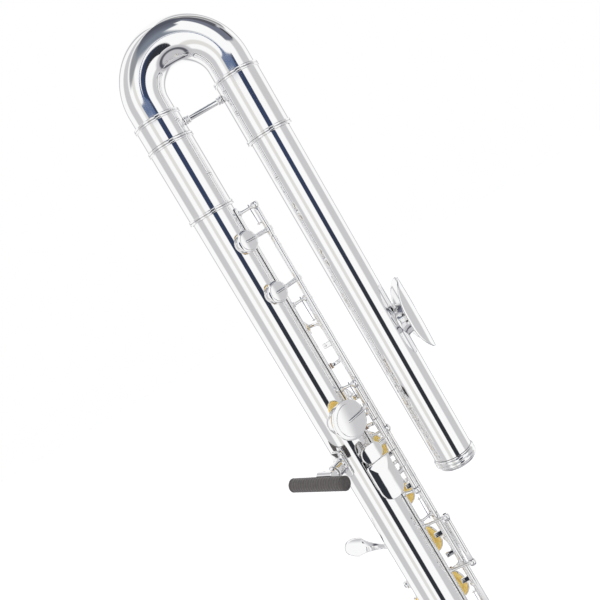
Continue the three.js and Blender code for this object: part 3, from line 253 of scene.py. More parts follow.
@dataclass(frozen=True)
class Axis:
    """A line in space that forms are turned about, with a direction that counts as the first angle."""

    origin: Vec = (0.0, 0.0, 0.0)
    along: Vec = (0.0, 0.0, 1.0)
    first: Vec = (1.0, 0.0, 0.0)

    def frame(self) -> tuple[Array, Array, Array, Array]:
        """Works out the directions square to the axis.

        Returns:
            The origin, the axis and the two directions square to it.
        """
        along, first = unit(self.along), np.asarray(self.first, float)
        first = unit(first - along * first.dot(along))
        return np.asarray(self.origin, float), along, first, np.cross(along, first)


def turned(profile: Sequence[Vec] | Array, axis: Axis, sides: int = 40, ring: bool = False) -> Skin:
    """Surface of revolution: point (r, h) of the profile goes round at o + h a + r (u cos t + v sin t).

    Args:
        profile: Points (radius, height) in order. Where it isn't a ring, its ends lie on the axis.
        axis: Line that the profile turns about.
        sides: Number of steps round.
        ring: True joins the last profile point to the first, which gives a form with a bore.

    Returns:
        A skin with one closed surface.
    """
    origin, along, first, second = axis.frame()
    c, s = circle(sides)
    profile = np.asarray(profile, float)
    radius = np.maximum(profile[:, 0], 1e-4)[:, None, None]
    rows = origin + profile[:, 1][:, None, None] * along + radius * (c[:, None] * first + s[:, None] * second)
    return Skin().grid(rows, ring)


def lathe(profile: Sequence[Vec], edge: float, axis: Axis, sides: int = 40, ring: bool = False,
          steps: int = 3) -> Skin:
    """Surface of revolution whose profile has its corners rounded first."""
    return turned(rounded(profile, edge, steps, closed=ring), axis, sides, ring)


def pipe(bore: float, outer: float, low: float, high: float, axis: Axis, edge: float = 0.3,
         sides: int = 40, steps: int = 3) -> Skin:
    """Tube between two heights on an axis, with softened ends.

    Args:
        bore: Inner radius.
        outer: Outer radius.
        low: Height of one end.
        high: Height of the other end.
        axis: Axis of the tube.
        edge: Rounding of the rims.
        sides: Number of steps round.
        steps: Number of steps in each rounding.

    Returns:
        A skin with one closed surface.
    """
    corners = [(bore, low), (outer, low), (outer, high), (bore, high)]
    return lathe(corners, edge, axis, sides, True, steps)


def rod(start: Array, end: Array, radius: float, sides: int = 24, edge: float = 0.25) -> Skin:
    """Round bar between two points with its two rims rounded.

    Args:
        start: Middle of one end.
        end: Middle of the other end.
        radius: Radius of the bar.
        sides: Number of steps round.
        edge: Rounding of the rims.

    Returns:
        A skin with one closed surface.
    """
    run = float(np.linalg.norm(end - start))
    helper = Z if abs((end - start)[2]) < 0.9 * run else X
    corners = [(0, 0), (radius, 0), (radius, run), (0, run)]
    return lathe(corners, edge, Axis(start, end - start, helper), sides)


def swept(path: Array, section: Array, up: Vec, sizes: Array | float = 1.0) -> Skin:
    """Section carried along a path: point (a, b) of the section goes to p + a s + b n.

    s is square to the path's tangent and to the up direction, and n is square to the tangent and s.

    Args:
        path: Points of shape (n, 3).
        section: Closed section of shape (m, 2).
        up: Direction that the section's second axis leans to.
        sizes: Factors of shape (n, 2) for the section's two axes along the path.

    Returns:
        A skin with one closed surface.
    """
    tangent = unit(np.gradient(path, axis=0))
    side = unit(np.cross(tangent, np.broadcast_to(unit(up), path.shape)))
    normal = np.cross(side, tangent)
    factors = np.broadcast_to(sizes, (len(path), 2))
    across = section[None, :, 0] * factors[:, :1]
    above = section[None, :, 1] * factors[:, 1:]
    return Skin().grid(path[:, None] + across[..., None] * side[:, None] + above[..., None] * normal[:, None])


def oval(half_width: float, half_height: float, sides: int, square: float = 2.0) -> Array:
    """Closed section |x/w|^k + |y/h|^k = 1, which is an ellipse at k = 2 and squarer above it."""
    c, s = (np.sign(v) * np.abs(v) ** (2.0 / square) for v in circle(sides))
    return stacked(half_width * c, half_height * s)


def smooth_path(points: Sequence[Vec], steps: int = 8) -> Array:
    """Catmull-Rom curve: on each span 0.5(2b + (c-a)t + (2a-5b+4c-d)t^2 + (3b-a-3c+d)t^3).

    Args:
        points: Points that the curve goes through.
        steps: Steps in each span.

    Returns:
        Points of the curve.
    """
    p = np.asarray(points, float)
    p = np.concatenate([2 * p[:1] - p[1:2], p, 2 * p[-1:] - p[-2:-1]])
    a, b, c, d = p[:-3, None], p[1:-2, None], p[2:-1, None], p[3:, None]
    t = np.linspace(0.0, 1.0, steps, endpoint=False)[None, :, None]
    curve = 0.5 * (2 * b + (c - a) * t + (2 * a - 5 * b + 4 * c - d) * t**2 + (3 * b - a - 3 * c + d) * t**3)
    return np.concatenate([curve.reshape(-1, 3), p[-2:-1]])


def bent_bar(points: Sequence[Vec], half_width: float, half_depth: float, up: Array) -> Skin:
    """Bar with a squarish oval section along a smooth curve."""
    return swept(smooth_path(points, 10), oval(half_width, half_depth, 20, 2.6), up)


def plate(outline: Array, thickness: float, place: Place, edge: float = 0.5, dish: float = 0.0) -> Skin:
    """Plate with a rounded edge, laid on a surface.

    The rings of the grid go from the middle of the top face out, round the edge on a quarter circle each
    way, and in along the bottom face. At the edge the outline is drawn in along its normals, and further in
    towards its centre by a factor f. The dish lowers both faces in the middle by dish * (1 - f^2).

    Args:
        outline: Closed outline of shape (n, 2), in the plate's own two directions.
        thickness: Distance between the two faces.
        place: Mapping from (across, along, depth) points to space, with depth 0 on the bottom face.
        edge: Radius of the rounded edge.
        dish: Depth of a hollow in the middle, which may be negative for a crown.

    Returns:
        A skin with one closed surface.
    """
    centre = outline.mean(axis=0)
    tangent = unit(np.roll(outline, -1, axis=0) - np.roll(outline, 1, axis=0))
    outwards = stacked(tangent[:, 1], -tangent[:, 0])
    bend = np.linspace(0.0, math.pi / 2, 4)
    factor = np.array([0.03, 0.25, 0.5, 0.75, 0.92])
    inset = edge - edge * np.sin(bend)
    face = centre + (outline - outwards * edge - centre)[None] * factor[:, None, None]
    corner = outline[None] - outwards[None] * inset[:, None, None]
    flat = np.concatenate([face, corner, corner[::-1], face[::-1]])
    top = np.concatenate([np.full(len(factor), thickness), thickness - edge + edge * np.cos(bend)])
    depth = np.concatenate([top, (thickness - top)[::-1]])
    share = np.concatenate([factor, np.ones(2 * len(bend)), factor[::-1]])
    depth = (depth - dish * (1 - share**2))[:, None]
    return Skin().grid(place(stacked(flat[..., 0], flat[..., 1], depth)))


def on_cylinder(radius: float, angle: float, height: float = 0.0) -> Place:
    """Lays (across, along, depth) on a cylinder about Z: across round it, along up it.

    Args:
        radius: Radius where the depth is 0.
        angle: Direction where across is 0.
        height: Height where along is 0.

    Returns:
        The mapping.
    """

    def place(rows: Array) -> Array:
        """Carries points onto the cylinder.

        Args:
            rows: Points (across, along, depth).

        Returns:
            The points in space.
        """
        turn = math.radians(angle) + rows[..., 0] / radius
        reach = radius + rows[..., 2]
        return stacked(reach * np.cos(turn), reach * np.sin(turn), rows[..., 1] + height)

    return place


def on_plane(origin: Array, across: Array, along: Array) -> Place:
    """Lays (across, along, depth) on a plane, with depth along their cross product.

    Args:
        origin: Point where all three are 0.
        across: First direction.
        along: Second direction.

    Returns:
        The mapping.
    """
    across, along = unit(across), unit(along)
    up = np.cross(across, along)
    return lambda rows: origin + rows[..., :1] * across + rows[..., 1:2] * along + rows[..., 2:3] * up


def facing(reach: float, angle: float, height: float = 0.0) -> Place:
    """Mapping onto the upright plane that faces away from the body axis: across round it, along up it."""
    return on_plane(polar(reach, angle, height), polar(1.0, angle + 90.0), Z)


def box_outline(half_width: float, low: float, high: float, low_corner: float,
                high_corner: float | None = None) -> Array:
    """Outline of a plate with four rounded corners, which may differ at its two ends.

    Args:
        half_width: Half the width.
        low: Lower end.
        high: Upper end.
        low_corner: Radius of the two lower corners.
        high_corner: Radius of the upper ones, where it differs.

    Returns:
        Closed outline.
    """
    w, a = half_width, low_corner
    b = a if high_corner is None else high_corner
    arcs = []
    for corner, (x, y, reach) in enumerate([(w - b, high - b, b), (b - w, high - b, b), (a - w, low + a, a),
                                            (w - a, low + a, a)]):
        turn = np.linspace(corner * math.pi / 2, corner * math.pi / 2 + math.pi / 2, 9)
        arcs.append(stacked(x + reach * np.cos(turn), y + reach * np.sin(turn)))
    return np.concatenate(arcs)


def screw_head(origin: Array, along: Array, radius: float, height: float, slot: float = 0.45) -> Skin:
    """Cheese head with a slot: a disc with two half-round lands on it, parted by the slot.

    Args:
        origin: Middle of its underside.
        along: Direction that it faces.
        radius: Radius of the head.
        height: Height of the head.
        slot: Width of the slot.

    Returns:
        A skin with three closed surfaces.
    """
    along = unit(along)
    first = unit(np.cross(Z if abs(along[2]) < 0.9 else X, along))
    half = height / 2
    corners = [(0, 0), (radius, 0), (radius, half), (0, half)]
    disc = lathe(corners, 0.1, Axis(origin, along, first), 32, steps=2)
    start = math.asin(min(0.9, slot / 2 / radius))
    turn = np.linspace(start, math.pi - start, 15)
    land = stacked(radius * np.cos(turn), radius * np.sin(turn))
    base = on_plane(origin + along * half, first, np.cross(along, first))
    return disc.add(*(plate(sign * land, half, base, 0.06) for sign in (1.0, -1.0)))


def new_object(name: str, data: bpy.types.ID) -> bpy.types.Object:
    """Puts a new object with its data into the scene.

    Args:
        name: Name of the object.
        data: Its mesh, light or camera.

    Returns:
        The object.
    """
    made = bpy.data.objects.new(name, data)
    bpy.context.scene.collection.objects.link(made)
    return made


# Finishes


@dataclass
class Nodes:
    """Short calls for building a node tree."""

    tree: bpy.types.NodeTree

    def fill(self, node: bpy.types.Node, values: dict) -> bpy.types.Node:
        """Gives inputs their values or links.

        Args:
            node: Node to fill.
            values: Values or links by the input's name or index.

        Returns:
            The node.
        """
        for key, value in values.items():
            if isinstance(value, Link):
                self.tree.links.new(value, node.inputs[key])
            else:
                node.inputs[key].default_value = value
        return node

    def make(self, kind: str, values: dict | None = None, **settings: object) -> bpy.types.Node:
        """Adds a node, sets its properties, and fills its inputs.

        Args:
            kind: Type of the node.
            values: Values or links by input.
            settings: Properties of the node.

        Returns:
            The node.
        """
        node = self.tree.nodes.new(kind)
        for key, value in settings.items():
            setattr(node, key, value)
        return self.fill(node, values or {})

    def math(self, operation: str, *values: Link | float) -> Link:
        """Adds a Math node and returns its output."""
        return self.make("ShaderNodeMath", dict(enumerate(values)), operation=operation).outputs[0]

    def times(self, first: Link | float, second: Link | float) -> Link:
        """Product of two values."""
        return self.math("MULTIPLY", first, second)

    def bump(self, height: Link, relief: float, strength: float) -> Link:
        """Normal bent by a height with a relief in metres."""
        values = {"Height": height, "Distance": relief, "Strength": strength}
        return self.make("ShaderNodeBump", values).outputs["Normal"]

    def band(self, value: Link, low: float, high: float, start: float = 0.0, end: float = 1.0) -> Link:
        """Smooth step of a value from low to high, mapped to the two given values."""
        values = {"Value": value, "From Min": low, "From Max": high, "To Min": start, "To Max": end}
        return self.make("ShaderNodeMapRange", values, interpolation_type="SMOOTHSTEP").outputs["Result"]

    def noise(self, vector: Link, scale: Link | float, detail: float, rough: float = 0.5) -> Link:
        """Adds a noise texture and returns its value."""
        values = {"Vector": vector, "Scale": scale, "Detail": detail, "Roughness": rough}
        return self.make("ShaderNodeTexNoise", values).outputs["Fac"]

    def mix(self, first: Link | tuple, second: Link | tuple, factor: Link) -> Link:
        """Mixes two colours, each three values or a link.

        Args:
            first: Colour at factor 0.
            second: Colour at factor 1.
            factor: Share of the second.

        Returns:
            The mixed colour.
        """
        values = {"Factor": factor}
        for label, colour in (("A", first), ("B", second)):
            values[label] = (*colour, 1.0) if isinstance(colour, tuple) else colour
        return self.make("ShaderNodeMix", values, data_type="RGBA").outputs["Result"]


def new_group(name: str, inputs: dict[str, float], outputs: Sequence[str]) -> tuple:
    """Starts a shader node group with float inputs and outputs.

    Args:
        name: Name of the group.
        inputs: Default values of the inputs by name.
        outputs: Names of the outputs.

    Returns:
        The group, its nodes, the links of its inputs, and its output node.
    """
    group = bpy.data.node_groups.new(name, "ShaderNodeTree")
    for label, value in inputs.items():
        group.interface.new_socket(label, in_out="INPUT", socket_type="NodeSocketFloat").default_value = value
    for label in outputs:
        group.interface.new_socket(label, in_out="OUTPUT", socket_type="NodeSocketFloat")
    n = Nodes(group)
    return group, n, n.make("NodeGroupInput").outputs, n.make("NodeGroupOutput")


def build_polish_group() -> bpy.types.NodeTree:
    """Hand-polished plate: cloudy wipe marks, hairlines along the piece and a trace of warm tarnish.

    Returns:
        The group.
    """
    group, n, given, leave = new_group("hand_polish", {"Marks": 0.5, "Hairlines": 0.5, "Tarnish": 0.3},
                                       ("Roughness", "Height", "Warmth"))
    place = n.make("ShaderNodeTexCoord").outputs["Object"]
    wipe = n.make("ShaderNodeMapping", {"Vector": place, "Scale": (420.0, 420.0, 26.0)}).outputs[0]
    marks = n.times(n.band(n.noise(place, 38.0, 5.0, 0.62), 0.42, 0.78), given["Marks"])
    hair = n.times(n.band(n.noise(wipe, 3.0, 4.0, 0.7), 0.55, 0.8), given["Hairlines"])
    fine = n.noise(place, 900.0, 2.0)
    n.fill(leave, {
        "Roughness": n.math("ADD", n.times(marks, 0.09), n.times(hair, 0.05)),
        "Height": n.math("ADD", n.times(hair, 0.6), n.times(fine, 0.25)),
        "Warmth": n.times(n.band(n.noise(place, 14.0, 4.0, 0.6), 0.5, 0.8), given["Tarnish"]),
    })
    return group


def build_grain_group() -> bpy.types.NodeTree:
    """Fine mottled grain for skin, cork and moulded rubber.

    Returns:
        The group.
    """
    group, n, given, leave = new_group("fine_grain", {"Scale": 300.0, "Contrast": 0.5}, ("Mask", "Height"))
    place = n.make("ShaderNodeTexCoord").outputs["Object"]
    fine_scale = n.times(given["Scale"], 5.0)
    fine = n.noise(place, fine_scale, 2.0)
    cells = n.make("ShaderNodeTexVoronoi", {"Vector": place, "Scale": fine_scale}).outputs["Distance"]
    mask = n.band(n.noise(place, given["Scale"], 4.0), 0.35, 0.68)
    n.fill(leave, {
        "Mask": n.times(mask, given["Contrast"]),
        "Height": n.math("ADD", n.times(fine, 0.5), n.times(cells, 0.5)),
    })
    return group


def blank(name: str) -> tuple[bpy.types.Material, Nodes, bpy.types.Node]:
    """Makes a material with a bare Principled shader.

    Args:
        name: Name of the material.

    Returns:
        The material, its nodes and the shader.
    """
    material = bpy.data.materials.new(name)
    material.use_nodes = True
    material.node_tree.nodes.clear()
    n = Nodes(material.node_tree)
    shader = n.make("ShaderNodeBsdfPrincipled")
    n.make("ShaderNodeOutputMaterial", {"Surface": shader.outputs["BSDF"]})
    return material, n, shader


@dataclass(frozen=True)
class Metal:
    """A plated or ground metal finish, with painted shade darkening its crevices and the joints between
    parts.
    """

    name: str
    colour: Triple = (0.955, 0.955, 0.96)
    warm: Triple = (0.93, 0.91, 0.87)
    roughness: float = 0.045
    marks: float = 0.35
    hairlines: float = 0.35
    tarnish: float = 0.3
    bump: float = 0.02
    relief: float = 0.00002
    # Painted shade: strength, reach in metres and near-black colour of the darkening that an ambient
    # occlusion node lays in crevices and between parts.
    crevice: float = 0.65
    crevice_reach: float = 0.0009
    crevice_colour: Triple = (0.11, 0.1, 0.1)

    def build(self, polish: bpy.types.NodeTree) -> bpy.types.Material:
        """Makes the material.

        Args:
            polish: The shared polish group.

        Returns:
            The material.
        """
        material, n, shader = blank(self.name)
        levels = {"Marks": self.marks, "Hairlines": self.hairlines, "Tarnish": self.tarnish}
        worn = n.make("ShaderNodeGroup", levels, node_tree=polish).outputs
        # Painted shade: where the ambient occlusion node finds nearby surfaces, in grooves and where parts
        # meet, the plating is darkened towards the painted shade colour.
        corner = n.make("ShaderNodeAmbientOcclusion", {"Distance": self.crevice_reach}, samples=6)
        crevice = n.band(corner.outputs["AO"], 0.15, 0.6, self.crevice, 0.0)
        plated = n.mix(self.colour, self.warm, worn["Warmth"])
        n.fill(shader, {
            "Base Color": n.mix(plated, self.crevice_colour, crevice),
            "Roughness": n.math("ADD", worn["Roughness"], self.roughness),
            "Normal": n.bump(worn["Height"], self.relief, self.bump), "Metallic": 1.0,
        })
        return material


@dataclass(frozen=True)
class Soft:
    """A matt finish with grain: pad skin, cork or moulded rubber, which a painted glow may brighten."""

    name: str
    light: Triple
    dark: Triple
    roughness: float
    scale: float
    bump: float
    relief: float
    coat: float = 0.0
    # Painted glow: emission strength of the finish's own colour, which brightens it as painted light.
    glow: float = 0.0
    contrast: float = 0.9

    def build(self, grain: bpy.types.NodeTree) -> bpy.types.Material:
        """Makes the material.

        Args:
            grain: The shared grain group.

        Returns:
            The material.
        """
        material, n, shader = blank(self.name)
        levels = {"Scale": self.scale, "Contrast": self.contrast}
        grained = n.make("ShaderNodeGroup", levels, node_tree=grain).outputs
        colour = n.mix(self.light, self.dark, grained["Mask"])
        # The emission, at the painted glow's strength, is painted light: the surface shines with its own
        # colour.
        n.fill(shader, {
            "Base Color": colour, "Emission Color": colour, "Emission Strength": self.glow,
            "Roughness": n.math("MULTIPLY_ADD", grained["Mask"], 0.12, self.roughness),
            "Normal": n.bump(grained["Height"], self.relief, self.bump), "Coat Weight": self.coat,
        })
        return material


PLATED = Metal("polished_silver_plate")
GROUND = Metal("ground_steel", (0.66, 0.67, 0.69), (0.6, 0.58, 0.55), 0.2, 0.6, 1.0, 0.4, 0.08)
SPRING = Metal("blued_spring_steel", (0.08, 0.11, 0.2), (0.14, 0.1, 0.16), 0.22, 0.5, 0.8, 0.6, 0.05)


class Look(Enum):
    """What a piece is made of: its material slot in the record, and its finish."""

    SILVER = ("silver", PLATED)
    SATIN = ("satin_silver", PLATED)
    STEEL = ("steel", GROUND)
    BLUED = ("steel", SPRING)
    # The pad skin emits its own colour at strength 0.3, a painted glow that brightens it.
    PAD = ("pad_skin", Soft("yellow_pad_skin", (0.98, 0.78, 0.28), (0.94, 0.6, 0.14), 0.36, 260.0, 0.2,
                            0.00005, 0.25, 0.3))
    CORK = ("cork", Soft("bumper_cork", (0.5, 0.3, 0.15), (0.3, 0.16, 0.07), 0.85, 420.0, 0.5, 0.0001))
    GRIP = ("grip", Soft("satin_grey_grip", (0.105, 0.094, 0.092), (0.085, 0.076, 0.075), 0.36, 520.0, 0.3,
                         0.00003))

    def __init__(self, slot: str, finish: Metal | Soft) -> None:
        """Names the slot and the finish of a look."""
        self.slot, self.finish = slot, finish


@dataclass
class Workshop:
    """Dresses finished skins: gives them a material and a body to ride on."""

    materials: dict[str, bpy.types.Material] = field(default_factory=dict)

    def prepare(self) -> None:
        """Builds the shared groups and every finish."""
        groups = {Metal: build_polish_group(), Soft: build_grain_group()}
        finishes = {look.finish.name: look.finish for look in Look}
        self.materials = {name: finish.build(groups[type(finish)]) for name, finish in finishes.items()}

    def coat(self, mesh: bpy.types.Mesh, look: Look) -> None:
        """Gives a mesh the finish of a look as its only material."""
        mesh.materials.clear()
        mesh.materials.append(self.materials[look.finish.name])

    def fit(self, name: str, skin: Skin | bpy.types.Mesh, look: Look, body: str, *nodes: str,
            crease: float = 34.0) -> None:
        """Makes a piece of the flute from a skin or a finished mesh.

        Args:
            name: Name of the piece.
            skin: Its surfaces, or its mesh.
            look: What it is made of.
            body: Body that it rides on.
            nodes: Nodes of the frame that it replaces.
            crease: Angle in degrees above which an edge stays sharp.
        """
        mesh = skin.mesh(name, crease) if isinstance(skin, Skin) else skin
        self.coat(mesh, look)
        piece = new_object(name, mesh)
        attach(piece, body)
        if nodes:
            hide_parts(*nodes)
        LOG.info("%s: %d faces on %s", name, len(mesh.polygons), body)


def read(items: bpy.types.bpy_prop_collection, key: str, width: int = 3, kind: type = np.float32) -> Array:
    """Reads one property of all items.

    Args:
        items: Collection to read.
        key: Name of the property.
        width: Number of values per item.
        kind: Type of the values.

    Returns:
        An array with one row for each item.
    """
    values = np.zeros(len(items) * width, kind)
    items.foreach_get(key, values)
    return values.reshape(-1, width)


def drilled(skin: Skin, cutters: Skin, name: str, centre: float = 0.0) -> bpy.types.Mesh:
    """Cuts holes through a tube and gives its round walls the normals of a true cylinder.

    A corner whose face lies along the tube takes the direction from the tube's axis as its normal, so that
    the cut leaves no mark in the reflections.

    Args:
        skin: The tube.
        cutters: Closed forms to take away.
        name: Name of the mesh.
        centre: X of the tube's axis in millimetres.

    Returns:
        The cut mesh.
    """
    whole, tool = (new_object(name + end, form.mesh(name + end))
                   for form, end in ((skin, "_whole"), (cutters, "_tool")))
    cut = whole.modifiers.new("holes", "BOOLEAN")
    cut.operation, cut.object, cut.solver = "DIFFERENCE", tool, "EXACT"
    mesh = bpy.data.meshes.new_from_object(whole.evaluated_get(bpy.context.evaluated_depsgraph_get()))
    mesh.name = name
    for item in (whole, tool):
        bpy.data.objects.remove(item, do_unlink=True)
    mesh.shade_smooth()
    mesh.set_sharp_from_angle(angle=math.radians(30))
    normals = read(mesh.corner_normals, "vector")
    flat = np.repeat(read(mesh.polygons, "normal"), read(mesh.polygons, "loop_total", 1, np.int32)[:, 0], 0)
    radial = read(mesh.vertices, "co")[read(mesh.loops, "vertex_index", 1, np.int32)[:, 0]]
    radial = radial - np.array([centre * MM, 0.0, 0.0])
    radial[:, 2] = 0.0
    radial = unit(radial)
    lean = np.einsum("ij,ij->i", radial, flat)
    true = np.abs(lean) > 0.985
    normals[true] = radial[true] * np.sign(lean[true])[:, None]
    mesh.normals_split_custom_set(normals.tolist())
    return mesh


# Sizes shared by the sub-assemblies


@dataclass(frozen=True)
class Line:
    """A hinge line beside the body tube: its reach from the axis, its angle, and that of its posts' feet."""

    reach: float
    angle: float
    foot: float = 0.0

    def at(self, height: float) -> Array:
        """Point of the line at a height."""
        return polar(self.reach, self.angle, height)

    def axis(self, height: float = 0.0) -> Axis:
        """The line as an axis that starts at a height."""
        return Axis(self.at(height))

    def tube(self, low: float, high: float) -> Skin:
        """Hinge tube about the line with a bore for its steel."""
        return pipe(STEEL_BORE, HINGE, low, high, self.axis(), 0.22)


@dataclass(frozen=True)
class Cup:
    """Outer radius of a cup and radius of its tone hole."""

    radius: float
    hole: float


MAIN = Line(29.5, 12.0, 8.0)
TRILL = Line(30.6, -6.6, -6.0)
THUMB = Line(29.2, -21.0, -18.5)
SIDE = Line(37.0, -14.0, -14.0)
LARGE = Cup(15.3, 11.0)
THUMB_CUP = Cup(15.0, 10.4)
SMALL = Cup(8.4, 5.8)
SHARP = Cup(10.8, 7.8)
# Directions of the rows of cups, and heights of their holes
ROW, TRILL_ROW, THUMB_ROW, SHARP_ROW = 60.0, -54.5, -68.0, 143.0
MAIN_HOLES = (611.0, 568.0, 521.0, 476.0, 430.0, 382.0, 332.0, 281.0)
FOOT_HOLES = (213.0, 151.0, 84.0)
TRILL_HOLES = (804.0, 761.5)
C_SHARP_HOLE, THUMB_HOLE, SHARP_HOLE = 722.0, 653.5, 476.0
# Tubes
SPACING = 66.6
TUBE = 16.5
BORE = 16.0
SLEEVE = 17.6
SEAT = 0.3
SMOOTH = 128
WALL_EDGE = 0.15
BODY_AXIS, HEAD_AXIS = Axis(), Axis((SPACING, 0.0, 0.0))
# Ribs, chimneys and cups, as distances from the tube's axis
RIB_BASE, RIB_TOP, RIB_THICK, RIB_EDGE = 16.8, 18.0, 1.2, 0.4
RIM = 18.7
PAD_LOW, PAD_HIGH = 19.0, 22.2
CEILING = 22.5
CUP_TOP = 24.4
# Hinges, balls, touches and slotted screws
HINGE = 2.3
STEEL = 1.1
STEEL_BORE = 1.3
COLLAR, COLLAR_HALF = 3.2, 1.8
BALL, BALL_HALF, BALL_REACH, BALL_FLAT = 3.2, 2.4, 3.55, 0.1
TOUCH = 1.5
SCREW = 1.2


def banded(bore: float, outer: float, low: float, high: float, bands: Sequence[Pair]) -> Array:
    """Wall profile with grooved bands: r = outer + 0.9 - 0.6 g, where g = exp(-(d / 0.2)^2) at the groove.

    d is the distance from the middle of the band, and a quarter circle rounds each of its two rims.

    Args:
        bore: Inner radius.
        outer: Outer radius between the bands.
        low: Height of the lower end.
        high: Height of the upper end.
        bands: Lower and upper height of each band, from low to high.

    Returns:
        Profile points, to be turned as a ring.
    """
    rise, groove, groove_width, rim_width, rim_drop = 0.9, 0.6, 0.2, 0.3, 0.55
    points = [np.array([[bore, low]])]
    cursor = low
    for start, end in bands:
        if start > cursor:
            points.append(np.array([[outer, cursor + 0.05], [outer, start - 0.02]]))
        pitch = (end - start) / 2
        middle = start + pitch
        away = np.array([-0.5, -0.26, -0.17, -0.1, -0.05, 0.0, 0.05, 0.1, 0.17, 0.26, 0.5])
        edge = np.array([0.0, 0.06, 0.16, rim_width])
        z = np.unique(np.concatenate([middle + pitch * away, start + edge, end - edge]).round(4))
        z = z[(z >= start) & (z <= end)]
        depth = np.exp(-(((z - middle) / groove_width) ** 2))
        rim = np.minimum(np.minimum(z - start, end - z) / rim_width, 1.0)
        r = outer + rise - groove * depth - rim_drop * quarter(rim)
        points.append(stacked(r, z))
        cursor = end
    if high > cursor:
        points.append(np.array([[outer, cursor + 0.02], [outer, high - 0.05]]))
    points.append(np.array([[bore, high]]))
    return np.concatenate(points)


@dataclass(frozen=True)
class ToneHole:
    """A drawn chimney with a rolled rim, and the hole that it stands round."""

    radius: float
    height: float
    angle: float
    wall: float = 0.8
    bulge: float = 0.12
    root: Pair = (-0.7, 0.4)
    flare: tuple[Pair, ...] = ((0.0, 1.1), (0.1, 0.6), (0.35, 0.25), (0.8, 0.03), (0.8, -0.25))
    cut: Pair = (6.0, 24.0)

    def world(self, rows: Array) -> Array:
        """Carries (across, along, outwards) points about the hole into space."""
        upright = stacked(rows[..., 2], rows[..., 0], rows[..., 1] + self.height)
        return turn_about_z(upright, self.angle)

    def chimney(self) -> Skin:
        """Rings of radius r whose outward distance is sqrt(R^2 - a^2) at the root, and level at the rim.

        Returns:
            A skin with one closed surface.
        """
        c, s = circle(72)
        bead = np.linspace(0.0, math.pi, 9)
        middle, half = self.radius + self.wall / 2, self.wall / 2 + self.bulge
        outer = self.radius + self.wall

        def on_tube(radius: float, lift: float) -> Array:
            """One ring lifted from the tube."""
            out = np.sqrt(np.maximum(TUBE**2 - (radius * c) ** 2, 0.0)) + lift
            return stacked(radius * c, radius * s, out)

        rows = [on_tube(self.radius, lift) for lift in self.root]
        for turn in bead:
            radius, out = middle - half * math.cos(turn), RIM - half + half * math.sin(turn)
            rows.append(stacked(radius * c, radius * s, out))
        rows += [on_tube(outer + wider, lift) for wider, lift in self.flare]
        return Skin().grid(self.world(np.stack(rows)), ring=True)

    def cutter(self) -> Skin:
        """Bar through the tube's wall, as wide as the hole.

        Returns:
            A skin with one closed surface.
        """
        base, far = self.world(stacked(0.0, 0.0, np.array(self.cut)))
        run = self.cut[1] - self.cut[0]
        return turned([(0, 0), (self.radius, 0), (self.radius, run), (0, run)], Axis(base, far - base), 72)


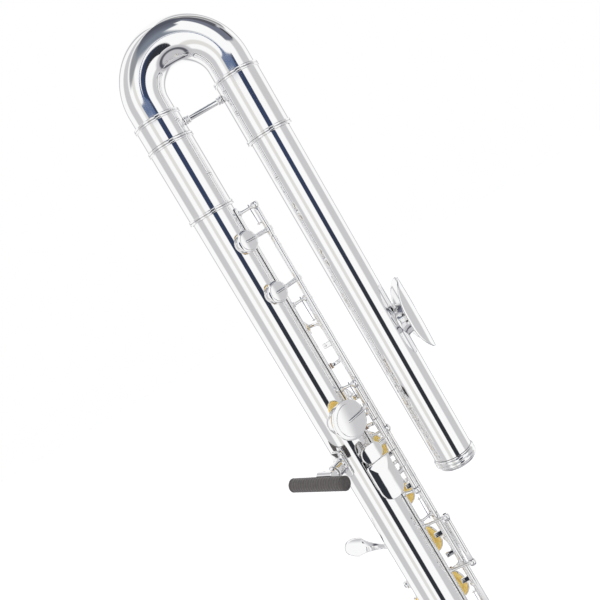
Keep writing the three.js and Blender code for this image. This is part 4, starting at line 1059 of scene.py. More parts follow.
@dataclass
class Tubing:
    """Body and foot tubes with the barrel, the bend, its two sleeves and the strut."""

    shop: Workshop
    foot_seat: float = 238.3
    foot_socket: Pair = (234.0, 262.0)
    body_top: float = 852.0
    barrel: Pair = (833.5, 893.5)
    tenon_low: float = 893.8
    socket_low: float = 862.5
    bend_low: float = 913.0
    bend_straight: float = 5.0
    bend_centre: float = 922.5
    band: float = 3.4
    strut_height: float = 902.0
    strut_half: tuple[Pair, ...] = ((0, 0), (3.2, 0), (3.2, 1.4), (2.6, 1.7), (2.6, 2.3), (3.0, 2.6),
                                    (3.0, 3.4), (2.1, 4.0))

    def holed(self, name: str, wall: Skin, holes: Sequence[ToneHole], body: str) -> None:
        """Cuts a tube's tone holes and stands their chimneys on it.

        Args:
            name: Node of the tube.
            wall: The tube before it is cut.
            holes: Its tone holes.
            body: Body that it rides on.
        """
        mesh = drilled(wall, Skin().add(*(hole.cutter() for hole in holes)), name)
        self.shop.fit(name + "_wall", mesh, Look.SILVER, body, name)
        chimneys = Skin().add(*(hole.chimney() for hole in holes))
        self.shop.fit(name + "_chimneys", chimneys, Look.SILVER, body)

    def body_tube(self) -> None:
        """Plain wall from the foot's seat to under the barrel."""
        wall = pipe(BORE, TUBE, self.foot_seat, self.body_top, BODY_AXIS, WALL_EDGE, SMOOTH, 2)
        holes = [ToneHole(LARGE.hole, height, ROW) for height in MAIN_HOLES]
        holes.append(ToneHole(SMALL.hole, C_SHARP_HOLE, ROW))
        holes += [ToneHole(SMALL.hole, height, TRILL_ROW) for height in TRILL_HOLES]
        holes.append(ToneHole(THUMB_CUP.hole, THUMB_HOLE, THUMB_ROW))
        holes.append(ToneHole(SHARP.hole, SHARP_HOLE, SHARP_ROW))
        self.holed("body_tube", wall, holes, "body")

    def foot_tube(self) -> None:
        """Foot wall with a ring at its open end and a banded socket over the body tube."""
        low, high = self.foot_socket
        end = banded(BORE, TUBE, 0.0, low, [(0.0, self.band)])[:-1]
        socket = banded(TUBE + SEAT, SLEEVE, low, high, [(high - self.band, high)])[1:]
        seat = self.foot_seat - SEAT
        profile = np.concatenate([end, socket, [[TUBE + SEAT, seat], [BORE, seat]]])
        holes = [ToneHole(LARGE.hole, height, ROW) for height in FOOT_HOLES]
        self.holed("foot_tube", turned(profile, BODY_AXIS, SMOOTH, True), holes, "foot")

    def sleeves(self) -> None:
        """Barrel on the body, and the two sleeves that the bend is soldered into."""
        band, high, (low, top) = self.band, self.bend_low - SEAT, self.barrel
        tenon = banded(BORE, SLEEVE, self.tenon_low, high, [(high - band, high)])[1:]
        neck = [[BORE, self.body_top + SEAT], [TUBE, self.body_top + SEAT], [TUBE, self.tenon_low]]
        low_band = self.socket_low, self.socket_low + band
        rows = (
            ("barrel_sleeve", banded(TUBE + SEAT, SLEEVE, low, top, [(low, low + band), (top - band, top)]),
             BODY_AXIS, "body", "barrel"),
            ("tenon_sleeve", np.concatenate([neck, tenon]), BODY_AXIS, "bend", "bend_tenon_sleeve"),
            ("socket_sleeve", banded(BORE + SEAT, SLEEVE, low_band[0], high, [low_band, (high - band, high)]),
             HEAD_AXIS, "bend", "bend_socket_sleeve"),
        )
        for name, profile, axis, body, node in rows:
            self.shop.fit(name, turned(profile, axis, SMOOTH, True), Look.SILVER, body, node)

    def bend(self) -> None:
        """Bend: circles about a line that rises, runs a half circle over the spacing and comes down."""
        radius, low, top = SPACING / 2, self.bend_low, self.bend_low + self.bend_straight
        turn = np.linspace(math.pi, 0.0, 81)
        arc = stacked(radius + radius * np.cos(turn), self.bend_centre + radius * np.sin(turn))
        line = np.concatenate([[[0.0, low], [0.0, top]], arc, [[SPACING, top], [SPACING, low]]])
        middle = stacked(radius, np.minimum(line[:, 1], self.bend_centre))
        out = unit(line - middle)
        c, s = circle(SMOOTH)

        def loops(size: float) -> Array:
            """Circles of one radius along the line."""
            across = line[:, None] + out[:, None] * (size * c)[None, :, None]
            return stacked(across[..., 0], size * s, across[..., 1])

        skin = Skin().grid(np.concatenate([loops(TUBE), loops(BORE)[::-1]]), ring=True)
        self.shop.fit("bend_tube", skin, Look.SILVER, "bend", "u_bend")

    def strut(self) -> None:
        """Turned brace with a collar and a fine bead at each end."""
        near, far = SLEEVE + SEAT, SPACING - SLEEVE - SEAT
        mirrored = ((radius, far - near - along) for radius, along in reversed(self.strut_half))
        profile = [*self.strut_half, *mirrored]
        skin = lathe(profile, 0.25, Axis((near, 0.0, self.strut_height), X, Z), 48)
        self.shop.fit("brace_bar", skin, Look.SILVER, "bend", "brace_strut")

    def build(self) -> None:
        """Builds every tube."""
        self.body_tube()
        self.foot_tube()
        self.sleeves()
        self.bend()
        self.strut()


@dataclass
class HeadJoint:
    """Head tube with its lip plate, riser and crown."""

    shop: Workshop
    outer: float = 16.0
    bore: float = 15.5
    low: float = 584.0
    high: float = 898.0
    hole_height: float = 693.8
    hole: Pair = (7.6, 5.9)
    plate_offset: float = 10.2
    plate_radius: float = 20.0
    plate_sag: float = 0.6
    plate_half: Pair = (30.3, 18.0)
    plate_corner: float = 0.72
    plate_thickness: float = 1.2
    plate_edge: float = 0.55
    plate_edge_shares: Pair = (0.02, 0.035)
    riser_half: Pair = (12.0, 9.4)
    riser_flare: Pair = (1.5, 1.1)
    riser_fillet: float = 0.5
    riser_seam: float = 0.05
    riser_bore_gap: float = 0.02
    cut: Pair = (8.0, 24.0)
    crown_radius: float = 16.1
    crown_low: float = 571.4
    crown_rise: float = 4.6
    crown_dome: float = 84.0
    crown_edge: float = 0.16
    crown_turning: tuple[Pair, ...] = (
        (16.2, 576.1), (16.2, 576.6), (16.7, 576.8), (17.1, 577.4), (17.2, 578.3), (17.1, 579.2),
        (16.7, 579.7), (17.1, 580.2), (17.2, 581.0), (17.1, 581.9), (16.8, 582.5), (16.2, 582.8),
        (16.2, 583.7), (15.1, 583.7), (15.1, 590.6), (2.3, 590.6), (2.3, 578.0), (0, 578.0))

    def about_axis(self, rows: Array) -> Array:
        """Carries (outwards, across, along) points about the blow hole's level into space."""
        return rows + np.array([SPACING, 0.0, self.hole_height])

    def tube(self) -> None:
        """Head tube with the blow hole cut through its wall."""
        wall = pipe(self.bore, self.outer, self.low, self.high, HEAD_AXIS, WALL_EDGE, SMOOTH, 2)
        c, s = circle(64)
        loop = stacked(0.0, self.hole[1] * c, self.hole[0] * s)
        cutter = Skin().grid(self.about_axis(np.stack([loop + out * X for out in self.cut])))
        mesh = drilled(wall, cutter, "head_tube_wall", SPACING)
        self.shop.fit("head_tube_wall", mesh, Look.SILVER, "head", "head_tube")

    def plate_level(self, across: Array, along: Array) -> Array:
        """Outward distance of the plate's face: offset + sqrt((R - sag (z/h)^2)^2 - y^2)."""
        radius = self.plate_radius - self.plate_sag * (along / self.plate_half[0]) ** 2
        return self.plate_offset + np.sqrt(radius**2 - across**2)

    def lip_plate(self) -> None:
        """Rings from the blow hole to the oval edge sign(c) |c|^k by sign(s) |s|^k, and back below."""
        c, s = circle(144)
        share = np.concatenate([[0.0, 0.006], np.linspace(0.02, 0.965, 22), [0.985, 0.996, 1.0]])[:, None]
        rim_c, rim_s = (np.sign(v) * np.abs(v) ** self.plate_corner for v in (c, s))
        across = (1 - share) * self.hole[1] * c + share * self.plate_half[1] * rim_c
        along = (1 - share) * self.hole[0] * s + share * self.plate_half[0] * rim_s
        top = self.plate_level(across, along)
        inner, outer = self.plate_edge_shares
        edge = np.minimum(np.minimum(share / inner, (1 - share) / outer), 1.0)
        drop = self.plate_edge * quarter(edge)
        upper = stacked(top - drop, across, along)
        lower = stacked(top - self.plate_thickness + drop, across, along)
        skin = Skin().grid(self.about_axis(np.concatenate([upper, lower[::-1]])), ring=True)
        self.shop.fit("lip_plate_shell", skin, Look.SILVER, "head", "lip_plate")

    def riser(self) -> None:
        """Wall between tube and plate: ovals of half size w + f (1-q)^2 + 0.5 (1-q)^8 down to a fillet."""
        c, s = circle(96)

        def ring(width: float, length: float, share: float) -> Array:
            """Ring at a share of the way from the tube's wall (0) to the plate's underside (1).

            Args:
                width: Half size across the tube.
                length: Half size along it.
                share: Share of the way.

            Returns:
                Points of the ring.
            """
            across, along = width * c, length * s
            low = np.sqrt((self.outer + self.riser_seam) ** 2 - across**2)
            high = self.plate_level(across, along) - self.plate_thickness - self.riser_seam
            return stacked(low + (high - low) * share, across, along)

        rows = []
        for q in np.linspace(1.0, 0.0, 12):
            length, width = (half + flare * (1 - q) ** 2 + self.riser_fillet * (1 - q) ** 8
                             for half, flare in zip(self.riser_half, self.riser_flare))
            rows.append(ring(width, length, q))
        length, width = (half + self.riser_bore_gap for half in self.hole)
        rows += [ring(width, length, q) for q in np.linspace(0.0, 1.0, 6)]
        skin = Skin().grid(self.about_axis(np.stack(rows)), ring=True)
        self.shop.fit("riser_wall", skin, Look.SILVER, "head", "embouchure_riser")

    def crown(self) -> None:
        """Crown: a domed end, a grooved bead and a flange against the end of the head tube."""
        dome = np.radians(np.linspace(0.0, self.crown_dome, 15))
        cap = stacked(self.crown_radius * np.sin(dome), self.crown_low + self.crown_rise * (1 - np.cos(dome)))
        skin = lathe(np.concatenate([cap, self.crown_turning]), self.crown_edge, HEAD_AXIS, SMOOTH)
        self.shop.fit("crown_turned", skin, Look.SILVER, "crown", "crown_cap")

    def build(self) -> None:
        """Builds the head joint."""
        self.tube()
        self.lip_plate()
        self.riser()
        self.crown()


# Keywork


def strap(half_angle: float, angle: float, height: float, low: float, high: float, corner: float,
          thickness: float = RIB_THICK, edge: float = RIB_EDGE) -> Skin:
    """Strap bent round the tube, over an angle to each side of its middle line."""
    outline = box_outline(math.radians(half_angle) * RIB_BASE, low, high, corner)
    return plate(outline, thickness, on_cylinder(RIB_BASE, angle, height), edge)


def ball(axis: Axis, height: float, bore: float = STEEL_BORE, radius: float = BALL) -> Skin:
    """Ball with a bore: r = b sqrt(1 - (z / 3.55)^2), with a fine flat at each end.

    Args:
        axis: Axis of the bore.
        height: Place of the middle on the axis.
        bore: Radius of the bore.
        radius: Radius of the ball.

    Returns:
        A skin with one closed surface.
    """
    z = np.linspace(-BALL_HALF, BALL_HALF, 15)
    sphere = stacked(radius * np.sqrt(1 - (z / BALL_REACH) ** 2), z)
    end = BALL_HALF - BALL_FLAT
    profile = np.concatenate([[[bore, -end]], sphere, [[bore, end]]])
    origin, along, first, _ = axis.frame()
    return turned(profile, Axis(origin + along * height, along, first), ring=True)


def stem(foot: Array, head: Array) -> Skin:
    """Stem that flares into a round foot on the rib and into its ball.

    Args:
        foot: Middle of the foot on the rib.
        head: End in the ball.

    Returns:
        A skin with one closed surface.
    """
    run = float(np.linalg.norm(head - foot))
    profile = [(0, 0), (2.4, 0), (2.4, 0.95), (1.75, 1.3), (1.3, 2.2), (1.15, 0.5 * run), (1.25, run - 1.2),
               (1.8, run), (0, run)]
    return lathe(profile, 0.35, Axis(foot, head - foot, Z), 32)


def post(line: Line, height: float, bore: float = STEEL_BORE, radius: float = BALL) -> Skin:
    """Post whose ball sits on a hinge line.

    Args:
        line: Hinge line.
        height: Height of the post.
        bore: Radius of the ball's bore.
        radius: Radius of the ball.

    Returns:
        A skin with a ball and a stem.
    """
    foot, head = polar(RIB_TOP - 0.6, line.foot, height), line.at(height)
    reach = float(np.linalg.norm(head - foot))
    end = head + (foot - head) / reach * (bore + radius) / 2
    return ball(line.axis(), height, bore, radius).add(stem(foot, end))


def steel(start: Array, end: Array, height: float, *extras: Skin) -> Skin:
    """Hinge steel between two points, with a slotted head of some height at its end, and extras on it."""
    return rod(start, end, STEEL).add(*extras, screw_head(end, end - start, SCREW, height))


@dataclass(frozen=True)
class CupFrame:
    """Frame of a cup that faces +Y before it is turned to its hole and opened about its hinge line."""

    line: Line
    face: float
    open: float = 0.0

    def hinge(self) -> Array:
        """The hinge's place across the tube and outwards."""
        return polar(self.line.reach, self.line.angle - self.face + 90.0)

    def side(self) -> float:
        """1 where the hinge is on the +X side of the cup, and -1 on the other."""
        return float(np.sign(self.hinge()[0]))

    def place(self, rows: Array) -> Array:
        """Turns points of the cup's frame about the hinge and sets the hinge on its line."""
        moved = rows - self.hinge()
        return turn_about_z(moved, self.face - 90.0 - self.side() * self.open) + self.line.at(0.0)


@dataclass(frozen=True)
class Key:
    """A key: a hinge tube with one or two cups on pointed arms, and what else it carries."""

    body: str
    frame: CupFrame
    cup: Cup
    pads: tuple[float, ...]
    low: float
    high: float
    node: str = ""
    disc_share: float = 0.81
    disc_rise: float = 1.3
    skirt_drop: float = 1.6
    skirt_wall: float = 0.6
    cup_edge: float = 0.14
    pad_gap: float = 0.9
    pad_edge: float = 0.5
    seat_depth: float = 0.1

    def turned_out(self, profile: Array, height: float, sides: int) -> Skin:
        """Form turned about the cup's own axis, at a height along the tube."""
        return turned(profile, Axis((0.0, 0.0, height), Y), sides).moved(self.frame.place)

    def cup_skin(self, height: float) -> Skin:
        """Cup: y = c + 0.6 (1 - (r / 0.81R)^2)^0.9 over the raised disc, a sloping shoulder and a skirt.

        Args:
            height: Height of the cup along the tube.

        Returns:
            A skin with one closed surface.
        """
        radius = self.cup.radius
        disc, base = self.disc_share * radius, CEILING + self.disc_rise
        r = np.linspace(disc, 0.0, 16)
        dome = base + (CUP_TOP - CEILING - self.disc_rise) * (1 - (r / disc) ** 2) ** 0.9
        inside, skirt = radius - self.skirt_wall, PAD_LOW + self.skirt_drop
        rim = [(inside, CEILING), (inside, skirt), (radius, skirt), (radius, CEILING + 0.25),
               (disc + 0.5, CEILING + 0.72), (disc + 0.12, CEILING + 0.7), (disc + 0.1, CEILING + 1.1)]
        profile = [[[0.0, CEILING]], rounded(rim, self.cup_edge), stacked(r, dome)]
        return self.turned_out(np.concatenate(profile), height, 72)

    def arm_skin(self, height: float) -> Skin:
        """Pointed arm: a ridged section that widens from the tip over the dome and drops to its collar.

        Args:
            height: Height of the arm along the tube.

        Returns:
            A skin with the arm and its collar.
        """
        hinge, radius = self.frame.hinge(), self.cup.radius
        reach, side = abs(hinge[0]), self.frame.side()
        path = smooth_path([
            (-3.4, CUP_TOP - 0.15, 0.0), (-1.0, CUP_TOP + 0.12, 0.0), (0.5 * radius, CUP_TOP + 0.1, 0.0),
            (0.85 * radius, CEILING + 1.45, 0.0), (radius + 0.4, CEILING + 0.55, 0.0),
            (reach - 1.9, hinge[1] + 1.35, 0.0), (reach - 0.2, hinge[1] + 0.6, 0.0)])
        share = np.linspace(0.0, 1.0, len(path))
        tip = np.sqrt(np.minimum(share / 0.05, 1.0)) * 0.97 + 0.03
        sizes = stacked((0.8 + 1.15 * share) * tip, (0.5 + 0.85 * share) * tip)
        skin = swept(path, oval(1.0, 1.0, 20, 1.45), Y, sizes)
        skin.moved(lambda rows: rows * np.array([side, 1.0, 1.0]) + height * Z)
        collar = pipe(1.45, COLLAR, -COLLAR_HALF, COLLAR_HALF, Axis((hinge[0], hinge[1], height)))
        return skin.add(collar).moved(self.frame.place)

    def pad_skin(self, height: float) -> Skin:
        """Pad: skin over felt, crowned below with a seat ring where it meets the chimney.

        Args:
            height: Height of the pad along the tube.

        Returns:
            A skin with one closed surface.
        """
        radius = self.cup.radius - self.pad_gap
        flat, edge, depth = radius - self.pad_edge, self.pad_edge, self.seat_depth
        r = np.linspace(0.0, flat, 24)
        seat = depth * np.exp(-(((r - self.cup.hole - 0.4) / 0.5) ** 2))
        side = [(flat, PAD_LOW), (radius, PAD_LOW + depth), (radius, PAD_HIGH), (0, PAD_HIGH)]
        profile = [stacked(r, PAD_LOW + seat), rounded(side, edge, 4)[1:]]
        return self.turned_out(np.concatenate(profile), height, 64)

    def build(self, shop: Workshop, *extras: Skin) -> None:
        """Fits the key with its extras, and its pads.

        Args:
            shop: Workshop that dresses the pieces.
            extras: Skins that join the key.
        """
        node = self.node or f"{self.body}_key"
        skin = self.frame.line.tube(self.low, self.high).add(*extras)
        for height in self.pads:
            skin.add(self.cup_skin(height), self.arm_skin(height))
        shop.fit(node + "_work", skin, Look.SILVER, self.body, node)
        places = ("",) if len(self.pads) == 1 else ("upper_", "lower_")
        for place, height in zip(places, self.pads):
            pad = f"{self.body}_{place}pad"
            shop.fit(pad + "_skin", self.pad_skin(height), Look.PAD, self.body, pad)


@dataclass
class Keywork:
    """Every key, lever, rib, post and steel."""

    shop: Workshop
    rib_half: float = 18.5
    rib_angle: float = -5.5
    rib_corner: float = 2.4
    ribs: tuple = (
        ("main_rib", "body", 264.0, 829.5, (
            (MAIN, (745.0, 643.0, 544.5, 453.0, 406.0, 267.0)), (TRILL, (824.3, 292.0)),
            (TRILL, (627.0, 450.0), 2.75, 4.1), (THUMB, (672.0, 575.0)), (SIDE, (543.5, 500.5)))),
        ("foot_rib", "foot", 59.0, 231.0, ((MAIN, (228.0, 190.0, 62.0)),)),
    )
    steels: tuple = (("main_rod", MAIN, 267.0, 745.0, "body"), ("foot_rod", MAIN, 62.0, 228.0, "foot"),
                     ("thumb_rod", THUMB, 575.0, 672.0, "thumb"))
    steel_over: Pair = (2.2, 1.6)
    finger_level: float = 657.0
    little_levels: tuple = (("low_c_sharp", 181.1), ("low_c", 117.5))
    touch_bar: Pair = (1.7, 1.2)
    main_keys: tuple = (
        Key("c_sharp", CupFrame(MAIN, ROW, 8.0), SMALL, (C_SHARP_HOLE,), 645.8, 742.2),
        *(Key(body, CupFrame(MAIN, ROW, 8.0), LARGE, holes, low, high) for body, holes, low, high in (
            ("b_flat", MAIN_HOLES[:1], 589.5, 640.2), ("a", MAIN_HOLES[1:2], 547.3, 589.1),
            ("g", MAIN_HOLES[2:4], 455.8, 541.7), ("f_sharp", MAIN_HOLES[4:5], 408.8, 450.2),
            ("f", MAIN_HOLES[5:6], 357.4, 403.2), ("e", MAIN_HOLES[6:7], 306.9, 357.0),
            ("d", MAIN_HOLES[7:], 269.8, 306.5))),
        Key("d_sharp", CupFrame(MAIN, ROW), LARGE, FOOT_HOLES[:1], 192.8, 225.2),
        Key("low_c_sharp", CupFrame(MAIN, ROW, 8.0), LARGE, FOOT_HOLES[1:2], 117.9, 187.2),
        Key("low_c", CupFrame(MAIN, ROW, 8.0), LARGE, FOOT_HOLES[2:], 64.8, 117.5),
    )
    trill_keys: tuple = (
        Key("trill_upper", CupFrame(TRILL, TRILL_ROW), SMALL, TRILL_HOLES[:1], 798.3, 821.5),
        Key("trill_lower", CupFrame(TRILL, TRILL_ROW), SMALL, TRILL_HOLES[1:], 346.4, 797.9),
    )
    thumb_key: Key = Key("thumb", CupFrame(THUMB, THUMB_ROW, 11.0), THUMB_CUP, (THUMB_HOLE,), 640.8, 669.2,
                         "thumb_cup_key")
    trill_steel: Pair = (289.6, 826.0)
    trill_tube: Pair = (294.8, 346.0)
    trill_touches: tuple = (("trill_upper", 306.5), ("trill_lower", 357.0))
    trill_arm: tuple[Pair, ...] = ((31.9, -6.6), (35.2, 0.0), (36.0, 10.0), (35.6, 22.0), (32.4, 38.0),
                                   (28.9, 50.0))
    trill_bar: Pair = (1.5, 1.1)
    trill_finger: Pair = (28.2, 50.0)
    thumb_levers: tuple = (
        ("thumb_touch", "thumb", (-84.0, -36.0), (583.1, 615.1), (9.6, 1.5), (577.8, 612.4), 595.7),
        ("b_flat_lever", "b_flat_thumb", (-82.0, -40.0), (615.9, 629.6), (6.4, 6.8), (612.8, 640.4), 622.8),
    )
    thumb_plate: float = 25.2
    thumb_arm: tuple[Pair, ...] = ((28.0, -26.0), (26.4, -33.0))
    thumb_bar: Pair = (1.8, 1.2)
    plate_turn: float = 7.0
    side_ends: Pair = (503.3, 540.7)
    side_tip: float = 2.4
    side_leaf: float = 522.0
    pivot_reach: float = 21.4
    pivot_height: float = 499.0
    saddle_angle: float = 125.0
    saddle_post: float = 7.8
    pin_ends: Pair = (10.0, 9.6)
    lever_bar: Pair = (1.9, 1.3)
    spoon_start: Pair = (24.4, 530.5)
    spoon_way: Triple = (-32.0, -11.7, 25.5)

    def straps(self) -> None:
        """Long ribs with their posts, and the steels of the main, foot and thumb lines."""
        for node, body, low, high, rows in self.ribs:
            skin = strap(self.rib_half, self.rib_angle, 0.0, low, high, self.rib_corner)
            for line, heights, *sizes in rows:
                skin.add(*(post(line, height, *sizes) for height in heights))
            self.shop.fit(node + "_posts", skin, Look.SATIN, body, node)
        for node, line, low, high, body in self.steels:
            skin = steel(line.at(low - self.steel_over[0]), line.at(high + self.steel_over[1]), 0.8)
            self.shop.fit(node + "_steel", skin, Look.STEEL, body, node)

    def touches(self) -> dict[str, Skin]:
        """Makes the touch of the C sharp key and the little-finger plates of the foot keys.

        Returns:
            The skins by the body of their key.
        """
        frame, shut = CupFrame(MAIN, ROW, 8.0), CupFrame(MAIN, ROW)
        x, y, _ = frame.hinge()

        def arm(height: float, start: Vec, bend: Vec, near: Vec, tip: Vec) -> Skin:
            """Arm at a height, through four places, the first two counted from the hinge."""
            places = [(x + start[0], y + start[1]), (x + bend[0], y + bend[1]), near, tip]
            return bent_bar([(*place, height) for place in places], *self.touch_bar, Y)

        def touch(outline: Array, origin: Vec, across: Array, along: Array, dish: float) -> Skin:
            """Plate in the cup's frame, with a hollow or a crown."""
            return plate(outline, TOUCH, on_plane(np.array(origin), across, along), dish=dish)

        level = self.finger_level
        finger = touch(oval(7.0, 7.0, 48), (0.0, 26.5, level), Z, X, 0.5)
        finger.add(arm(level, (-0.4, 1.2), (-5.0, 4.6), (9.0, 26.6), (3.0, 26.9)))
        flat = touch(box_outline(8.5, -6.0, 6.0, 4.0), (x + 10.3, y, FOOT_HOLES[0]), -X, Z, -0.4)
        found = {"c_sharp": finger.moved(frame.place), "d_sharp": flat.moved(shut.place)}
        for body, height in self.little_levels:
            little = touch(box_outline(6.0, -8.5, 8.5, 4.0), (6.0, 27.5, height), -X, Z, -0.5)
            little.add(arm(height - 4.5, (-0.3, 1.4), (-4.5, 5.2), (11.5, 27.6), (8.0, 28.0)))
            found[body] = little.moved(frame.place)
        return found

    def trill_touch(self, height: float) -> Skin:
        """Finger plate on an arm that goes round the outside of the main line.

        Args:
            height: Height of the touch.

        Returns:
            A skin of plate, arm and collar.
        """
        arm = bent_bar(around(self.trill_arm, height), *self.trill_bar, polar(1.0, 15.0))
        top = plate(oval(6.0, 8.0, 48, 2.3), TOUCH, facing(*self.trill_finger, height), dish=0.35)
        return top.add(arm, pipe(HINGE, 3.1, -1.7, 1.7, TRILL.axis(height), 0.25))

    def trills(self) -> None:
        """Two small keys near the barrel: the upper is pinned to a long steel, the lower turns on it."""
        for key in self.trill_keys:
            key.build(self.shop)
        low, high = (TRILL.at(height) for height in self.trill_steel)
        skin = steel(low, high, 0.7, TRILL.tube(*self.trill_tube))
        self.shop.fit("trill_steel", skin, Look.SATIN, "trill_upper", "trill_rod")
        for body, height in self.trill_touches:
            self.shop.fit(f"{body}_finger", self.trill_touch(height), Look.SILVER, body, f"{body}_touch")

    def thumb_lever(self, node: str, body: str, spread: Vec, ends: Vec, corners: Vec, tube: Vec,
                    arm_height: float) -> None:
        """Fits a curved thumb plate on a short arm from its hinge tube.

        Args:
            node: Node of the frame that it replaces.
            body: Body that it rides on.
            spread: Angles of the plate's two sides.
            ends: Heights of the plate's two ends.
            corners: Radii of its lower and upper corners.
            tube: Heights of the hinge tube's two ends.
            arm_height: Height of the arm.
        """
        middle, reach = sum(spread) / 2, self.thumb_plate
        half = math.radians((spread[1] - spread[0]) / 2) * reach
        skin = plate(box_outline(half, *ends, *corners), TOUCH, on_cylinder(reach, middle))
        pivot = polar(reach + 0.7, middle)
        skin.moved(lambda rows: turn_about_z(rows - pivot, -self.plate_turn) + pivot)
        rounds = (*self.thumb_arm, (reach + 0.7, spread[1] - 4.0))
        places = [THUMB.at(arm_height), *around(rounds, arm_height)]
        skin.add(THUMB.tube(*tube), bent_bar(places, *self.thumb_bar, polar(1.0, -30.0)),
                 pipe(1.4, COLLAR, -COLLAR_HALF, COLLAR_HALF, THUMB.axis(arm_height)))
        self.shop.fit(node + "_work", skin, Look.SILVER, body, node)

    def thumbs(self) -> None:
        """Thumb cup, its long touch and the B flat lever beside it."""
        self.thumb_key.build(self.shop)
        for row in self.thumb_levers:
            self.thumb_lever(*row)

    def side_lever(self) -> None:
        """Short outer lever on pointed ends, with a leaf behind its stem."""
        (low, high), tip = self.side_ends, self.side_tip
        profile = [(0, low - tip), (STEEL, low - tip), (STEEL, low), (HINGE, low), (HINGE, high),
                   (STEEL, high), (STEEL, high + tip), (0, high + tip)]
        back, side = polar(1.0, SIDE.angle + 118.0), polar(1.0, SIDE.angle + 28.0)
        leaf = plate(box_outline(14.0, -6.0, 6.0, 3.2), 1.3,
                     on_plane(SIDE.at(self.side_leaf) + back * 6.0 + side * 0.8, Z, back), 0.4)
        skin = lathe(profile, 0.3, SIDE.axis()).add(leaf)
        self.shop.fit("side_lever_work", skin, Look.SILVER, "side", "side_lever")

    def g_sharp(self) -> None:
        """See-saw behind the tube: saddle and posts, steel, and a lever with its cup and spoon."""
        angle, level = self.saddle_angle, self.pivot_height
        radial, tangent = polar(1.0, angle), polar(1.0, angle - 90.0)
        pivot = polar(self.pivot_reach, angle, level)
        axis = Axis(pivot, tangent, Z)
        saddle = strap(31.0, angle, level, -6.0, 6.0, 3.0)
        for across in (-self.saddle_post, self.saddle_post):
            saddle.add(ball(axis, across))
            aside = tangent * across + level * Z
            saddle.add(stem(radial * (math.sqrt(RIB_TOP**2 - across**2) - 0.6) + aside,
                            radial * (self.pivot_reach - 2.25) + aside))
        self.shop.fit("g_sharp_saddle", saddle, Look.SATIN, "body", "g_sharp_rib")
        pin = steel(pivot - tangent * self.pin_ends[0], pivot + tangent * self.pin_ends[1], 0.6)
        self.shop.fit("g_sharp_steel", pin, Look.STEEL, "body", "g_sharp_rod")
        key = Key("g_sharp", CupFrame(Line(0.0, 0.0), SHARP_ROW), SHARP, (SHARP_HOLE,), 0.0, 0.0)
        rounds = ((25.0, 143.0, 476.0), (26.2, 134.0, 476.5), (26.0, 127.0, 483.0), (23.6, angle, 497.0),
                  (24.0, angle, 512.0), (24.4, angle, 531.0))
        bar = bent_bar([polar(*place) for place in rounds], *self.lever_bar, radial)
        skin = pipe(STEEL_BORE, HINGE, -5.0, 5.0, axis, 0.22).add(bar, key.cup_skin(SHARP_HOLE), self.spoon())
        self.shop.fit("g_sharp_lever", skin, Look.SILVER, "g_sharp", "g_sharp_key")
        self.shop.fit("g_sharp_pad_skin", key.pad_skin(SHARP_HOLE), Look.PAD, "g_sharp", "g_sharp_pad")

    def spoon(self) -> Skin:
        """Teardrop with a dished face: its half width follows two quadratic arcs, neck to round end.

        Returns:
            A skin with one closed surface.
        """
        neck_half, wide_half, belly = 1.7, 7.4, 0.68
        along = np.array(self.spoon_way)
        run = float(np.linalg.norm(along))
        along = along / run
        across = np.cross(unit(np.cross(Z, along)), along)
        t = np.linspace(0.0, 1.0, 14)[:-1]
        neck = stacked(2 * t * (1 - t) * 0.45 * run + t**2 * belly * run,
                       (1 - t) ** 2 * neck_half + 2 * t * (1 - t) * neck_half + t**2 * wide_half)
        tip = stacked((1 - t) ** 2 * belly * run + 2 * t * (1 - t) * run + t**2 * run,
                      (1 - t) ** 2 * wide_half + 2 * t * (1 - t) * wide_half)
        upper = np.concatenate([neck, tip, [[run, 0.0]]])
        outline = np.concatenate([upper * [1, -1], upper[-2::-1]])
        reach, height = self.spoon_start
        start = polar(reach, self.saddle_angle, height)
        return plate(outline, TOUCH, on_plane(start, along, across), 0.45, 0.85)

    def build(self) -> None:
        """Builds the keywork."""
        self.straps()
        touches = self.touches()
        for key in self.main_keys:
            key.build(self.shop, *([touches[key.body]] if key.body in touches else []))
        self.trills()
        self.thumbs()
        self.side_lever()
        self.g_sharp()


@dataclass(frozen=True)
class Fitted:
    """Where a key has its spring's post and catch, its foot, cross pins and lugs; None where it has none."""

    body: str
    line: Line
    side: float
    post: float | None = None
    catch: float | None = None
    foot: float | None = None
    pins: tuple[float, ...] = ()
    lugs: tuple[float, ...] = ()
    bridge: Pair | None = None


